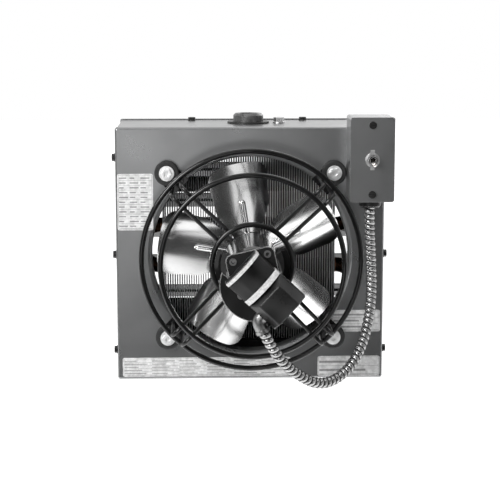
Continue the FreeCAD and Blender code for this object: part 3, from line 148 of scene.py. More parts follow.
# Rounding that the finishes show at sharp edges
ROUND_PAINT = 0.0006
ROUND_PLATING = 0.0004
ROUND_ZINC = 0.0005
ROUND_BOLT = 0.0005
ROUND_SPANGLE = 0.0005
ROUND_GLOSS = 0.0005
ROUND_MOULDING = 0.0012
ROUND_CASTING = 0.0010
ROUND_MATT = 0.0004
ROUND_SAMPLES = 4

# Colour along the edges, as wear on most finishes and as a painted highlight on the moulding: its reach by
# finish, the turns where it is full and where it ends, and its break-up
WEAR_PAINT = 0.0007
WEAR_GLOSS = 0.0005
HIGHLIGHT_MOULDING = 0.0022
WEAR_CASTING = 0.0014
EDGE_COLOUR_TURN_SHARES = (0.80, 0.97)
EDGE_COLOUR_GRAIN = 420.0
EDGE_COLOUR_BREAK_SHARES = (0.28, 0.62)

# Depth of the surface relief, by finish
RELIEF_PAINT = 0.00001
RELIEF_DRAWN = 0.00002
RELIEF_WAVE = 0.0004
RELIEF_PLATING = 0.00001
RELIEF_STRIP = 0.00001
RELIEF_SPANGLE = 0.00002
RELIEF_PEEL = 0.00005
RELIEF_MOULDING = 0.00003
RELIEF_MIRROR = 0.00002
RELIEF_CASTING = 0.00008
RELIEF_FIN = 0.00001
RELIEF_COPPER = 0.00002
RELIEF_SINTER = 0.00004
RELIEF_IRON = 0.00008
RELIEF_RUBBER = 0.00002
RELIEF_PLATE = 0.00002
RELIEF_BAND = 0.00001
RELIEF_GROOVE_SHADE = 0.00001
RELIEF_PAPER = 0.000004
RELIEF_INK = 0.000004
RELIEF_FLOOR = 0.0002

# Weight of each finer layer in the noises
NOISE_ROUGHNESS = 0.55

# Studio: floor, lamps with their place, width, height and power, and a room that is dark behind the camera
WHITE = (1.0, 1.0, 1.0, 1.0)
FLOOR_DROP = 0.60
FLOOR_HALF = 9.0
FLOOR_NEAR = -1.2
FLOOR_FAR = 12.0
FLOOR_GLOW = 0.92
LAMPS = {
    "key": ((-1.45, -1.75, 1.05), 1.1, 1.1, 62.0),
    "soft": ((-0.62, -2.2, 0.05), 1.45, 1.25, 8.6),
    "top": ((0.10, -0.55, 1.55), 1.8, 1.2, 9.0),
    "fill": ((2.2, -1.9, 0.2), 1.6, 1.6, 8.0),
    "front": ((1.1, 2.0, 1.2), 1.4, 1.4, 26.0),
}
LAMP_TARGET = (0.0, -0.085, -0.168)
WORLD_DARK = 0.045
WORLD_WHITE = 1.0
WORLD_TURN_SHARES = (0.42, 0.62)


# Materials
class Finish:
    """Node material on the Principled shader, with helpers for the textures that drive it."""

    def __init__(self, name, colour, roughness, metallic=0.0, coat=0.0, coat_roughness=0.1, specular=0.5):
        self.mat = bpy.data.materials.new(name)
        self.mat.use_nodes = True
        self.nodes = self.mat.node_tree.nodes
        self.links = self.mat.node_tree.links
        self.shader = self.nodes["Principled BSDF"]
        self.colour = colour
        self.socket("Base Color").default_value = (*colour, 1.0)
        self.socket("Roughness").default_value = roughness
        self.socket("Metallic").default_value = metallic
        self.socket("Coat Weight").default_value = coat
        self.socket("Coat Roughness").default_value = coat_roughness
        self.socket("Specular IOR Level").default_value = specular
        self.place = self.nodes.new("ShaderNodeTexCoord").outputs["Object"]
        self.relief = None

    def socket(self, name):
        return self.shader.inputs[name]

    def stretched(self, scale):
        node = self.nodes.new("ShaderNodeMapping")
        node.inputs["Scale"].default_value = scale
        self.links.new(self.place, node.inputs["Vector"])
        return node.outputs["Vector"]

    def noise(self, scale, detail, stretch=None):
        node = self.nodes.new("ShaderNodeTexNoise")
        node.inputs["Scale"].default_value = scale
        node.inputs["Detail"].default_value = detail
        node.inputs["Roughness"].default_value = NOISE_ROUGHNESS
        place = self.place if stretch is None else self.stretched(stretch)
        self.links.new(place, node.inputs["Vector"])
        return node.outputs["Fac"]

    def cells(self, scale):
        node = self.nodes.new("ShaderNodeTexVoronoi")
        node.inputs["Scale"].default_value = scale
        self.links.new(self.place, node.inputs["Vector"])
        return node.outputs["Color"]

    def product(self, first, second):
        node = self.nodes.new("ShaderNodeMath")
        node.operation = "MULTIPLY"
        self.links.new(first, node.inputs[0])
        self.links.new(second, node.inputs[1])
        return node.outputs["Value"]

    def spread(self, source, low, high, start=0.3, end=0.7):
        node = self.nodes.new("ShaderNodeMapRange")
        node.inputs["From Min"].default_value = start
        node.inputs["From Max"].default_value = end
        node.inputs["To Min"].default_value = low
        node.inputs["To Max"].default_value = high
        self.links.new(source, node.inputs["Value"])
        return node.outputs["Result"]

    def tint(self, source, other, start=0.35, end=0.65):
        """Colour runs from what it was to other where source rises from start to end."""
        node = self.nodes.new("ShaderNodeMix")
        node.data_type = "RGBA"
        base = self.socket("Base Color")
        if base.is_linked:
            self.links.new(base.links[0].from_socket, node.inputs["A"])
        else:
            node.inputs["A"].default_value = (*self.colour, 1.0)
        node.inputs["B"].default_value = (*other, 1.0)
        self.links.new(self.spread(source, 0.0, 1.0, start, end), node.inputs["Factor"])
        self.links.new(node.outputs["Result"], base)

    def shine(self, source, low, high, start=0.3, end=0.7):
        """Roughness runs from low to high where source rises from start to end."""
        self.links.new(self.spread(source, low, high, start, end), self.socket("Roughness"))

    def bump(self, source, depth, strength):
        node = self.nodes.new("ShaderNodeBump")
        node.inputs["Distance"].default_value = depth
        node.inputs["Strength"].default_value = strength
        self.links.new(source, node.inputs["Height"])
        if self.relief is not None:
            self.links.new(self.relief, node.inputs["Normal"])
        self.relief = node.outputs["Normal"]
        self.links.new(self.relief, self.socket("Normal"))
        return self

    def rounding(self, radius):
        node = self.nodes.new("ShaderNodeBevel")
        node.samples = ROUND_SAMPLES
        node.inputs["Radius"].default_value = radius
        return node.outputs["Normal"]

    def edges(self, radius):
        """Rounds the look of sharp edges, under any bump added later."""
        self.relief = self.rounding(radius)
        self.links.new(self.relief, self.socket("Normal"))

    def edge_colour(self, reach, other, amount=1.0):
        """Shows other along the edges, broken up by a fine noise: wear on most finishes, a painted highlight
        on the moulding.
        """
        face = self.nodes.new("ShaderNodeNewGeometry")
        dot = self.nodes.new("ShaderNodeVectorMath")
        dot.operation = "DOT_PRODUCT"
        self.links.new(self.rounding(reach), dot.inputs[0])
        self.links.new(face.outputs["Normal"], dot.inputs[1])
        edge = self.spread(dot.outputs["Value"], amount, 0.0, *EDGE_COLOUR_TURN_SHARES)
        mask = self.product(edge, self.noise(EDGE_COLOUR_GRAIN, detail=4.0))
        self.tint(mask, other, *EDGE_COLOUR_BREAK_SHARES)


def grey(level, warm=0.0):
    return (level * (1.0 + warm), level, level * (1.0 - warm))


def painted(name, level):
    """Sprayed metallic enamel on sheet steel."""
    look = Finish(name, grey(level, warm=-0.01), 0.30, metallic=0.90, coat=0.06, coat_roughness=0.2)
    look.edges(ROUND_PAINT)
    look.tint(look.noise(14.0, detail=4.0), grey(level * 0.9, warm=-0.01))
    look.edge_colour(WEAR_PAINT, grey(level * 1.8))
    look.shine(look.noise(26.0, detail=5.0), low=0.27, high=0.33)
    return look.bump(look.noise(900.0, detail=2.0), RELIEF_PAINT, strength=0.25)


def brushed(name, level, roughness, stretch):
    """Bare metal with fine drawn lines along one way and a faint handling haze."""
    look = Finish(name, grey(level), roughness, metallic=1.0)
    look.tint(look.noise(18.0, detail=4.0), grey(level * 0.86))
    look.shine(look.noise(30.0, detail=4.0), low=roughness * 0.85, high=roughness * 1.25)
    return look.bump(look.noise(160.0, detail=3.0, stretch=stretch), RELIEF_DRAWN, strength=0.5)


def spun(name, level, roughness):
    """Rolled aluminium sheet: smooth, with a slow wave in its face and a faint handling haze."""
    look = Finish(name, grey(level), roughness, metallic=1.0)
    look.tint(look.noise(18.0, detail=4.0), grey(level * 0.9))
    look.shine(look.noise(30.0, detail=2.0), low=roughness * 0.9, high=roughness * 1.2)
    return look.bump(look.noise(22.0, detail=1.0), RELIEF_WAVE, strength=0.5)


def plated(name, level, roughness, cloud_share, warm=0.0, edge=ROUND_PLATING):
    """Plated steel: bright, with cloudy patches that keep cloud_share of its level."""
    look = Finish(name, grey(level, warm), roughness, metallic=1.0)
    look.edges(edge)
    look.tint(look.noise(90.0, detail=5.0), grey(level * cloud_share, warm), start=0.45, end=0.75)
    look.shine(look.noise(140.0, detail=4.0), low=roughness * 0.75, high=roughness * 1.4)
    return look.bump(look.noise(500.0, detail=3.0), RELIEF_PLATING, strength=0.3)


def wound_zinc(name):
    """Galvanised strip: bright, a little cloudy, and dark where it is seen along its face."""
    look = Finish(name, grey(0.46), 0.26, metallic=0.94, specular=0.6)
    look.socket("Specular Tint").default_value = (*grey(0.12), 1.0)
    look.tint(look.noise(120.0, detail=4.0), grey(0.32), start=0.42, end=0.70)
    look.shine(look.noise(140.0, detail=4.0), low=0.20, high=0.34)
    return look.bump(look.noise(500.0, detail=3.0), RELIEF_STRIP, strength=0.3)


def spangled(name, level, roughness, grain):
    """Hot-dipped steel with crystal spangle."""
    look = Finish(name, grey(level, warm=-0.01), roughness, metallic=1.0)
    look.edges(ROUND_SPANGLE)
    look.tint(look.cells(grain), grey(level * 0.72, warm=-0.02), start=0.1, end=0.9)
    look.shine(look.cells(grain * 0.9), roughness * 0.75, roughness * 1.25, start=0.0, end=1.0)
    return look.bump(look.noise(800.0, detail=3.0), RELIEF_SPANGLE, strength=0.5)


def glossy(name, level, roughness, coat, peel, specular):
    """Black gloss enamel with a slight flow in its coat and dust in the lows."""
    look = Finish(name, grey(level), roughness, coat=coat, coat_roughness=0.03, specular=specular)
    look.edges(ROUND_GLOSS)
    look.tint(look.noise(60.0, detail=4.0), grey(level * 1.6))
    look.edge_colour(WEAR_GLOSS, grey(level * 6.0))
    look.shine(look.noise(90.0, detail=4.0), low=roughness * 0.8, high=roughness * 1.5)
    return look.bump(look.noise(peel, detail=2.0), RELIEF_PEEL, strength=0.35)


def moulded(name, level, sheen, roughness):
    """Black moulding or enamel on the motor: a broad soft sheen painted into its colour in patches, and a
    painted highlight running along its edges.
    """
    look = Finish(name, grey(level), roughness, coat=0.08, coat_roughness=0.12, specular=0.16)
    look.edges(ROUND_MOULDING)
    # Lighter soft patches: painted sheen.
    look.tint(look.noise(26.0, detail=1.0), grey(sheen), start=0.38, end=0.72)
    # Lighter along the edges: painted highlight.
    look.edge_colour(HIGHLIGHT_MOULDING, grey(0.62), amount=1.5)
    look.shine(look.noise(60.0, detail=3.0), low=roughness * 0.8, high=roughness * 1.3)
    return look.bump(look.noise(700.0, detail=2.0), RELIEF_MOULDING, strength=0.3)


def mirror_black(name, level, roughness):
    """Black japanned steel, smooth enough to mirror what stands round it, with painted reflection streaks
    along one way.
    """
    look = Finish(name, grey(level), roughness, metallic=0.3, coat=1.0, coat_roughness=0.05, specular=0.8)
    # Lighter streaks along the motor's axis: painted reflection.
    painted_reflection_streaks = look.noise(90.0, detail=2.0, stretch=(1.0, 0.03, 1.0))
    look.tint(painted_reflection_streaks, grey(0.10), start=0.50, end=0.72)
    look.shine(look.noise(70.0, detail=3.0), low=roughness * 0.8, high=roughness * 1.3)
    return look.bump(look.noise(300.0, detail=2.0), RELIEF_MIRROR, strength=0.2)


def cast_hub(name):
    """Malleable iron, blackened, with its edges rubbed bright."""
    look = Finish(name, grey(0.13), 0.40, metallic=0.4, specular=0.6)
    look.edges(ROUND_CASTING)
    look.tint(look.noise(140.0, detail=4.0), grey(0.060))
    look.edge_colour(WEAR_CASTING, grey(0.42))
    look.shine(look.noise(160.0, detail=4.0), low=0.30, high=0.52)
    return look.bump(look.noise(900.0, detail=3.0), RELIEF_CASTING, strength=0.6)


def fins_with_painted_shade(name):
    """Thin aluminium sheet: full colour on its two cut edges, and darker deeper between the fins as painted
    shade.
    """
    look = Finish(name, grey(0.92), 0.42, metallic=0.25)
    low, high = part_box("coil_fins")
    axes = look.nodes.new("ShaderNodeSeparateXYZ")
    look.links.new(look.place, axes.inputs["Vector"])
    rear = look.spread(axes.outputs["Y"], 0.0, 1.0, low.y, low.y + FIN_LIT_DEPTH)
    front = look.spread(axes.outputs["Y"], 1.0, 0.0, high.y - FIN_LIT_DEPTH, high.y)
    look.tint(look.noise(40.0, detail=4.0), grey(0.78))
    # Darker away from the two faces, between the fins: painted shade.
    look.tint(look.product(rear, front), grey(0.09), start=0.2, end=0.9)
    return look.bump(look.noise(160.0, detail=3.0, stretch=(1.0, 1.0, 6.0)), RELIEF_FIN, strength=0.4)


def matt(name, level, roughness, grain, depth):
    """Dull surface with a fine grain: rubber, fibre, paper or cast iron."""
    look = Finish(name, grey(level), roughness, specular=0.4)
    look.edges(ROUND_MATT)
    look.tint(look.noise(grain * 0.2, detail=4.0), grey(level * 0.7))
    look.shine(look.noise(grain * 0.3, detail=4.0), roughness * 0.85, min(1.0, roughness * 1.15))
    return look.bump(look.noise(grain, detail=3.0), depth, strength=0.6)


def copper_red(name, level):
    """Drawn copper, browned by heat."""
    look = Finish(name, (level, level * 0.5, level * 0.3), 0.34, metallic=1.0)
    look.tint(look.noise(70.0, detail=5.0), (level * 0.5, level * 0.26, level * 0.16))
    look.shine(look.noise(150.0, detail=4.0), low=0.24, high=0.48)
    return look.bump(look.noise(600.0, detail=3.0, stretch=(0.15, 1.0, 1.0)), RELIEF_COPPER, strength=0.5)


def sintered(name):
    """Pressed bronze with open pores."""
    look = Finish(name, (0.40, 0.26, 0.13), 0.42, metallic=1.0)
    look.tint(look.noise(500.0, detail=4.0), (0.24, 0.15, 0.07))
    return look.bump(look.noise(2400.0, detail=3.0), RELIEF_SINTER, strength=0.7)


# Finish of each slot
MATERIALS = {
    "case_paint": painted("case_paint", level=0.27),
    "black_screw": glossy("black_screw", level=0.006, roughness=0.34, coat=0.05, peel=900.0, specular=0.4),
    "fin_aluminium": fins_with_painted_shade("fin_aluminium"),
    "copper": copper_red("copper", level=0.30),
    "galvanised": spangled("galvanised", level=0.50, roughness=0.36, grain=160.0),
    "black_iron": matt("black_iron", level=0.022, roughness=0.46, grain=900.0, depth=RELIEF_IRON),
    "zinc": plated("zinc", level=0.64, roughness=0.34, cloud_share=0.92, edge=ROUND_ZINC),
    "guard_black": glossy("guard_black", level=0.004, roughness=0.30, coat=0.60, peel=300.0, specular=0.08),
    "rubber": matt("rubber", level=0.020, roughness=0.55, grain=1400.0, depth=RELIEF_RUBBER),
    "fan_aluminium": spun("fan_aluminium", level=0.80, roughness=0.17),
    "steel": brushed("steel", level=0.46, roughness=0.30, stretch=(1.0, 8.0, 1.0)),
    "bronze": sintered("bronze"),
    "plate_grey": matt("plate_grey", level=0.022, roughness=0.42, grain=1200.0, depth=RELIEF_PLATE),
    "black_plastic": moulded("black_plastic", level=0.006, sheen=0.034, roughness=0.30),
    "white_band": matt("white_band", level=0.80, roughness=0.48, grain=1600.0, depth=RELIEF_BAND),
    "conduit_zinc": wound_zinc("conduit_zinc"),
    "box_steel": painted("box_steel", level=0.32),
    "nickel": plated("nickel", level=0.72, roughness=0.16, cloud_share=0.8, warm=0.04),
}

# Nodes with a finish of their own
NODE_LOOKS = {
    "corner_bolts": plated("bolt_zinc", level=0.90, roughness=0.38, cloud_share=0.92, edge=ROUND_BOLT),
    # Return bends and risers take a near-black copy of the copper: painted shade.
    "coil_return_bends": copper_red("copper_shaded", level=0.045),
    "coil_risers": copper_red("copper_riser_shaded", level=0.045),
    "motor_rivets": brushed("rivet_dull", level=0.20, roughness=0.42, stretch=(1.0, 1.0, 1.0)),
    "motor_shell": mirror_black("shell_black", level=0.02, roughness=0.10),
    "motor_front_bell": mirror_black("bell_black", level=0.02, roughness=0.14),
    "motor_connector": plated("connector_zinc", level=0.26, roughness=0.36, cloud_share=0.5),
    "motor_rear_plate": moulded("rear_plate_black", level=0.005, sheen=0.014, roughness=0.34),
    "supply_hub": cast_hub("supply_iron"),
    "return_hub": cast_hub("return_iron"),
}
# Louvers take a much darker copy of the case paint: painted shade.
for number in range(1, LOUVER_COUNT + 1):
    NODE_LOOKS[f"louver_{number}"] = painted(f"louver_shade_{number}", level=0.09)

# Finishes of pieces that only the scene has
# Near-black finish for the conduit's groove faces: painted shade.
GROOVE_SHADE = matt("groove_shade", level=0.030, roughness=0.60, grain=900.0, depth=RELIEF_GROOVE_SHADE)
# Near-black galvanised sheet for the tray: painted shade.
TRAY_SHADE_LOOK = spangled("tray_shade", level=0.05, roughness=0.46, grain=120.0)
STICKER_PAPER = matt("sticker_paper", level=0.84, roughness=0.42, grain=900.0, depth=RELIEF_PAPER)
STICKER_INK = matt("sticker_ink", level=0.34, roughness=0.50, grain=900.0, depth=RELIEF_INK)


# Pieces
def piece(name, mesh, look, smooth=True):
    obj = bpy.data.objects.new(name, mesh)
    bpy.context.scene.collection.objects.link(obj)
    obj.data.materials.append(look.mat)
    for face in obj.data.polygons:
        face.use_smooth = smooth
    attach(obj, "housing")
    return obj


def mesh_of(name, points, faces):
    mesh = bpy.data.meshes.new(name)
    mesh.from_pydata(points, [], faces)
    mesh.validate()
    bm = bmesh.new()
    bm.from_mesh(mesh)
    bmesh.ops.recalc_face_normals(bm, faces=bm.faces)
    bm.to_mesh(mesh)
    bm.free()
    return mesh


def joined(name, parts):
    """One mesh from several lists of places and faces."""
    places = []
    faces = []
    for part_places, part_faces in parts:
        start = len(places)
        places += part_places
        faces += [tuple(start + index for index in face) for face in part_faces]
    return mesh_of(name, places, faces)


def spline_points(name, route):
    """Points along the smooth line that has the route as its control points."""
    data = bpy.data.curves.new(name, "CURVE")
    data.dimensions = "3D"
    data.resolution_u = CONDUIT_STEPS
    line = data.splines.new("NURBS")
    line.points.add(len(route) - 1)
    for point, place in zip(line.points, route):
        point.co = (*place, 1.0)
    line.order_u = CONDUIT_ORDER
    line.use_endpoint_u = True
    line.resolution_u = CONDUIT_STEPS
    obj = bpy.data.objects.new(name, data)
    bpy.context.scene.collection.objects.link(obj)
    bpy.context.view_layer.update()
    drawn = obj.evaluated_get(bpy.context.evaluated_depsgraph_get())
    mesh = bpy.data.meshes.new_from_object(drawn)
    points = [vertex.co.copy() for vertex in mesh.vertices]
    bpy.data.objects.remove(obj)
    bpy.data.meshes.remove(mesh)
    return points


def strip_radius(turn):
    """Radius of the wound strip at a share of its pitch: a rounded bead between narrow grooves."""
    swell = math.sin(math.pi * (turn % 1.0)) ** CONDUIT_SWELL_SHARE
    return CONDUIT_ROOT + (CONDUIT_CREST - CONDUIT_ROOT) * swell


def wound_tube(name, points):
    """Tube of strip wound along points as a screw thread, and which of its faces lie in the groove."""
    rings = []
    marks = []
    along = 0.0
    side = None
    for index, point in enumerate(points):
        after = points[min(index + 1, len(points) - 1)]
        before = points[max(index - 1, 0)]
        way = (after - before).normalized()
        if side is None:
            side = way.orthogonal().normalized()
        else:
            along += (point - before).length
            side = (side - way * side.dot(way)).normalized()
        other = way.cross(side)
        ring = []
        for step in range(CONDUIT_SIDES):
            turn = step / CONDUIT_SIDES
            angle = 2.0 * math.pi * turn
            reach = strip_radius(along / CONDUIT_PITCH + turn)
            ring.append(point + (side * math.cos(angle) + other * math.sin(angle)) * reach)
        rings.append(ring)
        marks.append(along / CONDUIT_PITCH)
    faces = []
    grooves = []
    for index in range(len(rings) - 1):
        for step in range(CONDUIT_SIDES):
            a = index * CONDUIT_SIDES + step
            b = index * CONDUIT_SIDES + (step + 1) % CONDUIT_SIDES
            faces.append((a, b, b + CONDUIT_SIDES, a + CONDUIT_SIDES))
            turn = marks[index] + (step + 0.5) / CONDUIT_SIDES
            grooves.append(min(turn % 1.0, -turn % 1.0) < CONDUIT_GROOVE_SHARE)
    last = (len(rings) - 1) * CONDUIT_SIDES
    faces.append(tuple(range(CONDUIT_SIDES)))
    faces.append(tuple(range(last + CONDUIT_SIDES - 1, last - 1, -1)))
    return mesh_of(name, [place for ring in rings for place in ring], faces), grooves


def plate(points, y, thick):
    """Flat plate on the motor side of y: its outline in x and z, and the faces between front and back."""
    count = len(points)
    places = [(x, y, z) for x, z in points] + [(x, y - thick, z) for x, z in points]
    faces = [tuple(range(count)), tuple(range(2 * count - 1, count - 1, -1))]
    faces += [(i, (i + 1) % count, count + (i + 1) % count, count + i) for i in range(count)]
    return places, faces


def rounded(left, right, low, high, corner):
    """Rectangle with rounded corners; each corner starts at its own share of half a turn."""
    points = []
    for cx, cz, start in (
        (right - corner, high - corner, 0.0),
        (left + corner, high - corner, 0.5),
        (left + corner, low + corner, 1.0),
        (right - corner, low + corner, 1.5),
    ):
        for step in range(CORNER_STEPS + 1):
            angle = math.pi * (start + 0.5 * step / CORNER_STEPS)
            points.append((cx + corner * math.cos(angle), cz + corner * math.sin(angle)))
    return points


def rectangle(left, right, low, high):
    return [(left, low), (right, low), (right, high), (left, high)]


def sticker(name):
    left, right, low, high = STICKERS[name]
    outline = rounded(left, right, low, high, STICKER_CORNER)
    mesh = joined(name, [plate(outline, PANEL_Y - STICKER_SEAT, STICKER_THICK)])
    return piece(name, mesh, STICKER_PAPER, smooth=False)


def border(left, right, low, high):
    """Four thin rules just inside an edge."""
    near = BORDER_INSET
    far = BORDER_INSET + RULE_WIDTH
    return [
        rectangle(left + near, left + far, low + near, high - near),
        rectangle(right - far, right - near, low + near, high - near),
        rectangle(left + far, right - far, low + near, low + far),
        rectangle(left + far, right - far, high - far, high - near),
    ]


def ruled_marks(name, rows, columns):
    """Plain ruled table on a sticker: thin rules between rows, and a bar of no meaning in each cell."""
    left, right, low, high = STICKERS[name]
    face = PANEL_Y - STICKER_SEAT - STICKER_THICK
    width = (right - left - 2 * MARK_MARGIN) / columns
    height = (high - low - 2 * MARK_MARGIN) / rows
    half = height * MARK_HEIGHT_SHARE / 2
    outlines = border(left, right, low, high)
    for row in range(rows):
        foot = low + MARK_MARGIN + row * height
        middle = foot + height / 2
        outlines.append(rectangle(left + MARK_MARGIN, right - MARK_MARGIN, foot, foot + RULE_WIDTH))
        for column in range(columns):
            share = MARK_FILL_SHARES[(row * columns + column) % len(MARK_FILL_SHARES)]
            start = left + MARK_MARGIN + column * width
            end = start + width * share * MARK_WIDTH_SHARE
            outlines.append(rectangle(start, end, middle - half, middle + half))
    mesh = joined(name + "_marks", [plate(outline, face, MARK_THICK) for outline in outlines])
    return piece(name + "_marks", mesh, STICKER_INK, smooth=False)


def rippled_fins(name):
    """Thin plates side by side, bent in shallow waves along the air's way, with four corners at each step."""
    low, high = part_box("coil_fins")
    middle = (low.x + high.x) / 2
    places = []
    faces = []
    for fin in range(FIN_COUNT):
        centre = middle + (fin - (FIN_COUNT - 1) / 2) * FIN_PITCH
        start = len(places)
        for step in range(FIN_STEPS + 1):
            share = step / FIN_STEPS
            y = low.y + (high.y - low.y) * share
            x = centre + FIN_RIPPLE * math.sin(2.0 * math.pi * FIN_WAVES * share)
            for side in (-FIN_SHEET / 2, FIN_SHEET / 2):
                places += [(x + side, y, low.z), (x + side, y, high.z)]
        for step in range(FIN_STEPS):
            a = start + 4 * step
            b = a + 4
            faces.append((a, b, b + 1, a + 1))
            faces.append((a + 2, a + 3, b + 3, b + 2))
            faces.append((a, a + 2, b + 2, b))
            faces.append((a + 1, b + 1, b + 3, a + 3))
        last = start + 4 * FIN_STEPS
        faces.append((start, start + 1, start + 3, start + 2))
        faces.append((last, last + 2, last + 3, last + 1))
    return mesh_of(name, places, faces)


def sleeves(name):
    """Plain sleeve on each tube row, standing for the fins' collars, from end to end of the fins."""
    low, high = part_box("coil_fins")
    parts = []
    for row in TUBE_ROWS_Z:
        places = []
        for x in (low.x, high.x):
            for step in range(SLEEVE_SIDES):
                angle = 2.0 * math.pi * step / SLEEVE_SIDES
                y = (low.y + high.y) / 2 + SLEEVE_RADIUS * math.cos(angle)
                places.append((x, y, row + SLEEVE_RADIUS * math.sin(angle)))
        faces = []
        for step in range(SLEEVE_SIDES):
            after = (step + 1) % SLEEVE_SIDES
            faces.append((step, after, SLEEVE_SIDES + after, SLEEVE_SIDES + step))
        parts.append((places, faces))
    return joined(name, parts)


def hem(name):
    """Folded edge round the mouth of the wrapper, proud of its faces."""
    low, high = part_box("case_wrapper")
    rims = []
    for y in (high.y - HEM_DEPTH, high.y):
        for grow in (HEM_HEIGHT, 0.0):
            outline = rounded(low.x - grow, high.x + grow, low.z - grow, high.z + grow, HEM_CORNER)
            rims.append([(x, y, z) for x, z in outline])
    count = len(rims[0])
    order = (0, 2, 3, 1)
    faces = []
    for first, second in zip(order, order[1:] + order[:1]):
        for step in range(count):
            after = (step + 1) % count
            a = first * count
            b = second * count
            faces.append((a + step, a + after, b + after, b + step))
    return mesh_of(name, [place for rim in rims for place in rim], faces)


def tray(name):
    """Bent sheet along the coil, and the skirt under its rear edge, both as thick as TRAY_SHEET."""
    low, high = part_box("coil_fins")
    count = len(TRAY_PROFILE)
    places = []
    for x in (low.x, high.x):
        places += [(x, y, z) for y, z in TRAY_PROFILE]
        places += [(x, y + TRAY_SHEET, z - TRAY_SHEET) for y, z in TRAY_PROFILE]
    faces = []
    for a in range(count - 1):
        b = a + 2 * count
        faces.append((a, a + 1, b + 1, b))
        faces.append((a + count, b + count, b + count + 1, a + count + 1))
        faces.append((a, a + count, a + count + 1, a + 1))
        faces.append((b, b + 1, b + count + 1, b + count))
    for edge in (0, count - 1):
        faces.append((edge, edge + 2 * count, edge + 3 * count, edge + count))
    rear_y, rear_z = TRAY_PROFILE[0]
    skirt = plate(rectangle(low.x, high.x, TRAY_FOOT, rear_z), rear_y, TRAY_SHEET)
    return joined(name, [(places, faces), skirt])


# Camera
def facing(place, target):
    """Turn of a camera or lamp at place that looks at target."""
    return (Vector(target) - Vector(place)).to_track_quat("-Z", "Y").to_euler()


camera_data = bpy.data.cameras.new("camera")
camera_data.lens = CAMERA_LENS_MM
camera_data.sensor_width = CAMERA_SENSOR_MM
camera_data.clip_start = CAMERA_NEAR
camera_data.clip_end = CAMERA_FAR
camera = bpy.data.objects.new("camera", camera_data)
bpy.context.scene.collection.objects.link(camera)
camera.location = CAMERA_PLACE
camera.rotation_euler = facing(CAMERA_PLACE, CAMERA_TARGET)
bpy.context.scene.camera = camera

# Conduit
conduit_line = spline_points("conduit_line", CONDUIT_ROUTE)
conduit_mesh, conduit_grooves = wound_tube("conduit_wound", conduit_line)
conduit = piece("conduit_wound", conduit_mesh, MATERIALS["conduit_zinc"])
# Faces in the grooves take the near-black finish: painted shade.
conduit.data.materials.append(GROOVE_SHADE.mat)
for face_index, in_groove in enumerate(conduit_grooves):
    conduit.data.polygons[face_index].material_index = int(in_groove)
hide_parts("conduit")

# Stickers
for label in STICKERS:
    sticker(label)
for label, (row_count, column_count) in MARK_ROWS.items():
    ruled_marks(label, row_count, column_count)

# Coil and case edges
fins = piece("fin_pack", rippled_fins("fin_pack"), MATERIALS["fin_aluminium"])
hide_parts("coil_fins")
piece("tube_sleeves", sleeves("tube_sleeves"), MATERIALS["fin_aluminium"])
# Near-black tray: painted shade over the coil's lower part.
piece("shade_tray", tray("shade_tray"), TRAY_SHADE_LOOK, smooth=False)
rim = piece("case_hem", hem("case_hem"), MATERIALS["case_paint"], smooth=False)
soften = rim.modifiers.new("soften", "BEVEL")
soften.width = HEM_BEVEL
soften.segments = HEM_BEVEL_STEPS

# Carried-over pieces take the finish of their own slot, and a few a finish of their own
for node_name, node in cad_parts.items():
    for index, held in enumerate(node.data.materials):
        look = NODE_LOOKS.get(node_name) or MATERIALS[held.name.split(".")[0]]
        node.data.materials[index] = look.mat


# Studio
def lamp(name, place, wide, tall, power):
    data = bpy.data.lights.new(name, "AREA")
    data.shape = "RECTANGLE"
    data.size = wide
    data.size_y = tall
    data.energy = power
    obj = bpy.data.objects.new(name, data)
    bpy.context.scene.collection.objects.link(obj)
    obj.location = place
    obj.rotation_euler = facing(place, LAMP_TARGET)


def larger(tree, first, second):
    """The larger of two values."""
    node = tree.nodes.new("ShaderNodeMath")
    node.operation = "MAXIMUM"
    tree.links.new(first, node.inputs[0])
    tree.links.new(second, node.inputs[1])
    return node.outputs["Value"]


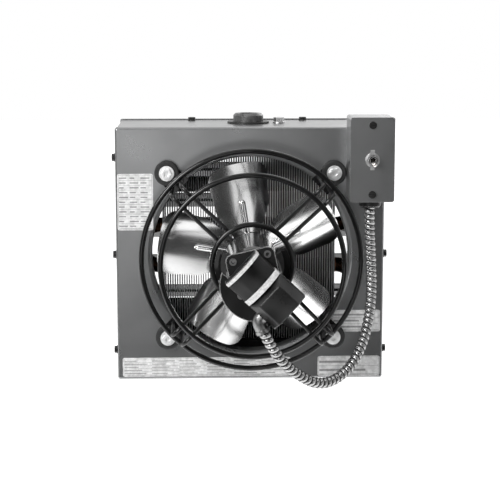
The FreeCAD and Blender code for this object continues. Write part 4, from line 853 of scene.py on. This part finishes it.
def room():
    """World that is white past the part and dark behind the camera, and white wherever the camera sees it."""
    world = bpy.data.worlds.new("world")
    bpy.context.scene.world = world
    world.use_nodes = True
    tree = world.node_tree
    towards = tree.nodes.new("ShaderNodeTexCoord")
    axes = tree.nodes.new("ShaderNodeSeparateXYZ")
    tree.links.new(towards.outputs["Generated"], axes.inputs["Vector"])
    turn = tree.nodes.new("ShaderNodeMapRange")
    turn.inputs["From Min"].default_value = -1.0
    turn.inputs["From Max"].default_value = 1.0
    tree.links.new(axes.outputs["Y"], turn.inputs["Value"])
    wall = tree.nodes.new("ShaderNodeMapRange")
    wall.interpolation_type = "SMOOTHSTEP"
    wall.inputs["From Min"].default_value = WORLD_TURN_SHARES[0]
    wall.inputs["From Max"].default_value = WORLD_TURN_SHARES[1]
    wall.inputs["To Min"].default_value = WORLD_DARK
    wall.inputs["To Max"].default_value = WORLD_WHITE
    tree.links.new(turn.outputs["Result"], wall.inputs["Value"])
    rays = tree.nodes.new("ShaderNodeLightPath")
    seen = larger(tree, wall.outputs["Result"], rays.outputs["Is Camera Ray"])
    background = tree.nodes["Background"]
    tree.links.new(seen, background.inputs["Strength"])
    background.inputs["Color"].default_value = WHITE


def ground():
    """White floor well under the part, which glows where the camera or a mirror sees it."""
    look = matt("floor_white", level=0.85, roughness=0.9, grain=40.0, depth=RELIEF_FLOOR)
    tree = look.mat.node_tree
    rays = look.nodes.new("ShaderNodeLightPath").outputs
    mirrored = larger(tree, rays["Is Glossy Ray"], rays["Is Transmission Ray"])
    seen = larger(tree, rays["Is Camera Ray"], mirrored)
    glow = look.spread(seen, 0.0, FLOOR_GLOW, start=0.0, end=1.0)
    look.links.new(glow, look.socket("Emission Strength"))
    look.socket("Emission Color").default_value = WHITE
    z = CAD_BOX[0].z - FLOOR_DROP
    corners = rectangle(-FLOOR_HALF, FLOOR_HALF, FLOOR_NEAR, FLOOR_FAR)
    mesh = bpy.data.meshes.new("floor")
    mesh.from_pydata([(x, y, z) for x, y in corners], [], [(0, 1, 2, 3)])
    mesh.materials.append(look.mat)
    obj = bpy.data.objects.new("floor", mesh)
    bpy.context.scene.collection.objects.link(obj)
    return obj


for lamp_name, (place, wide, tall, power) in LAMPS.items():
    lamp(lamp_name, place, wide, tall, power)
room()
floor = ground()

bpy.context.scene.view_settings.view_transform = "Standard"
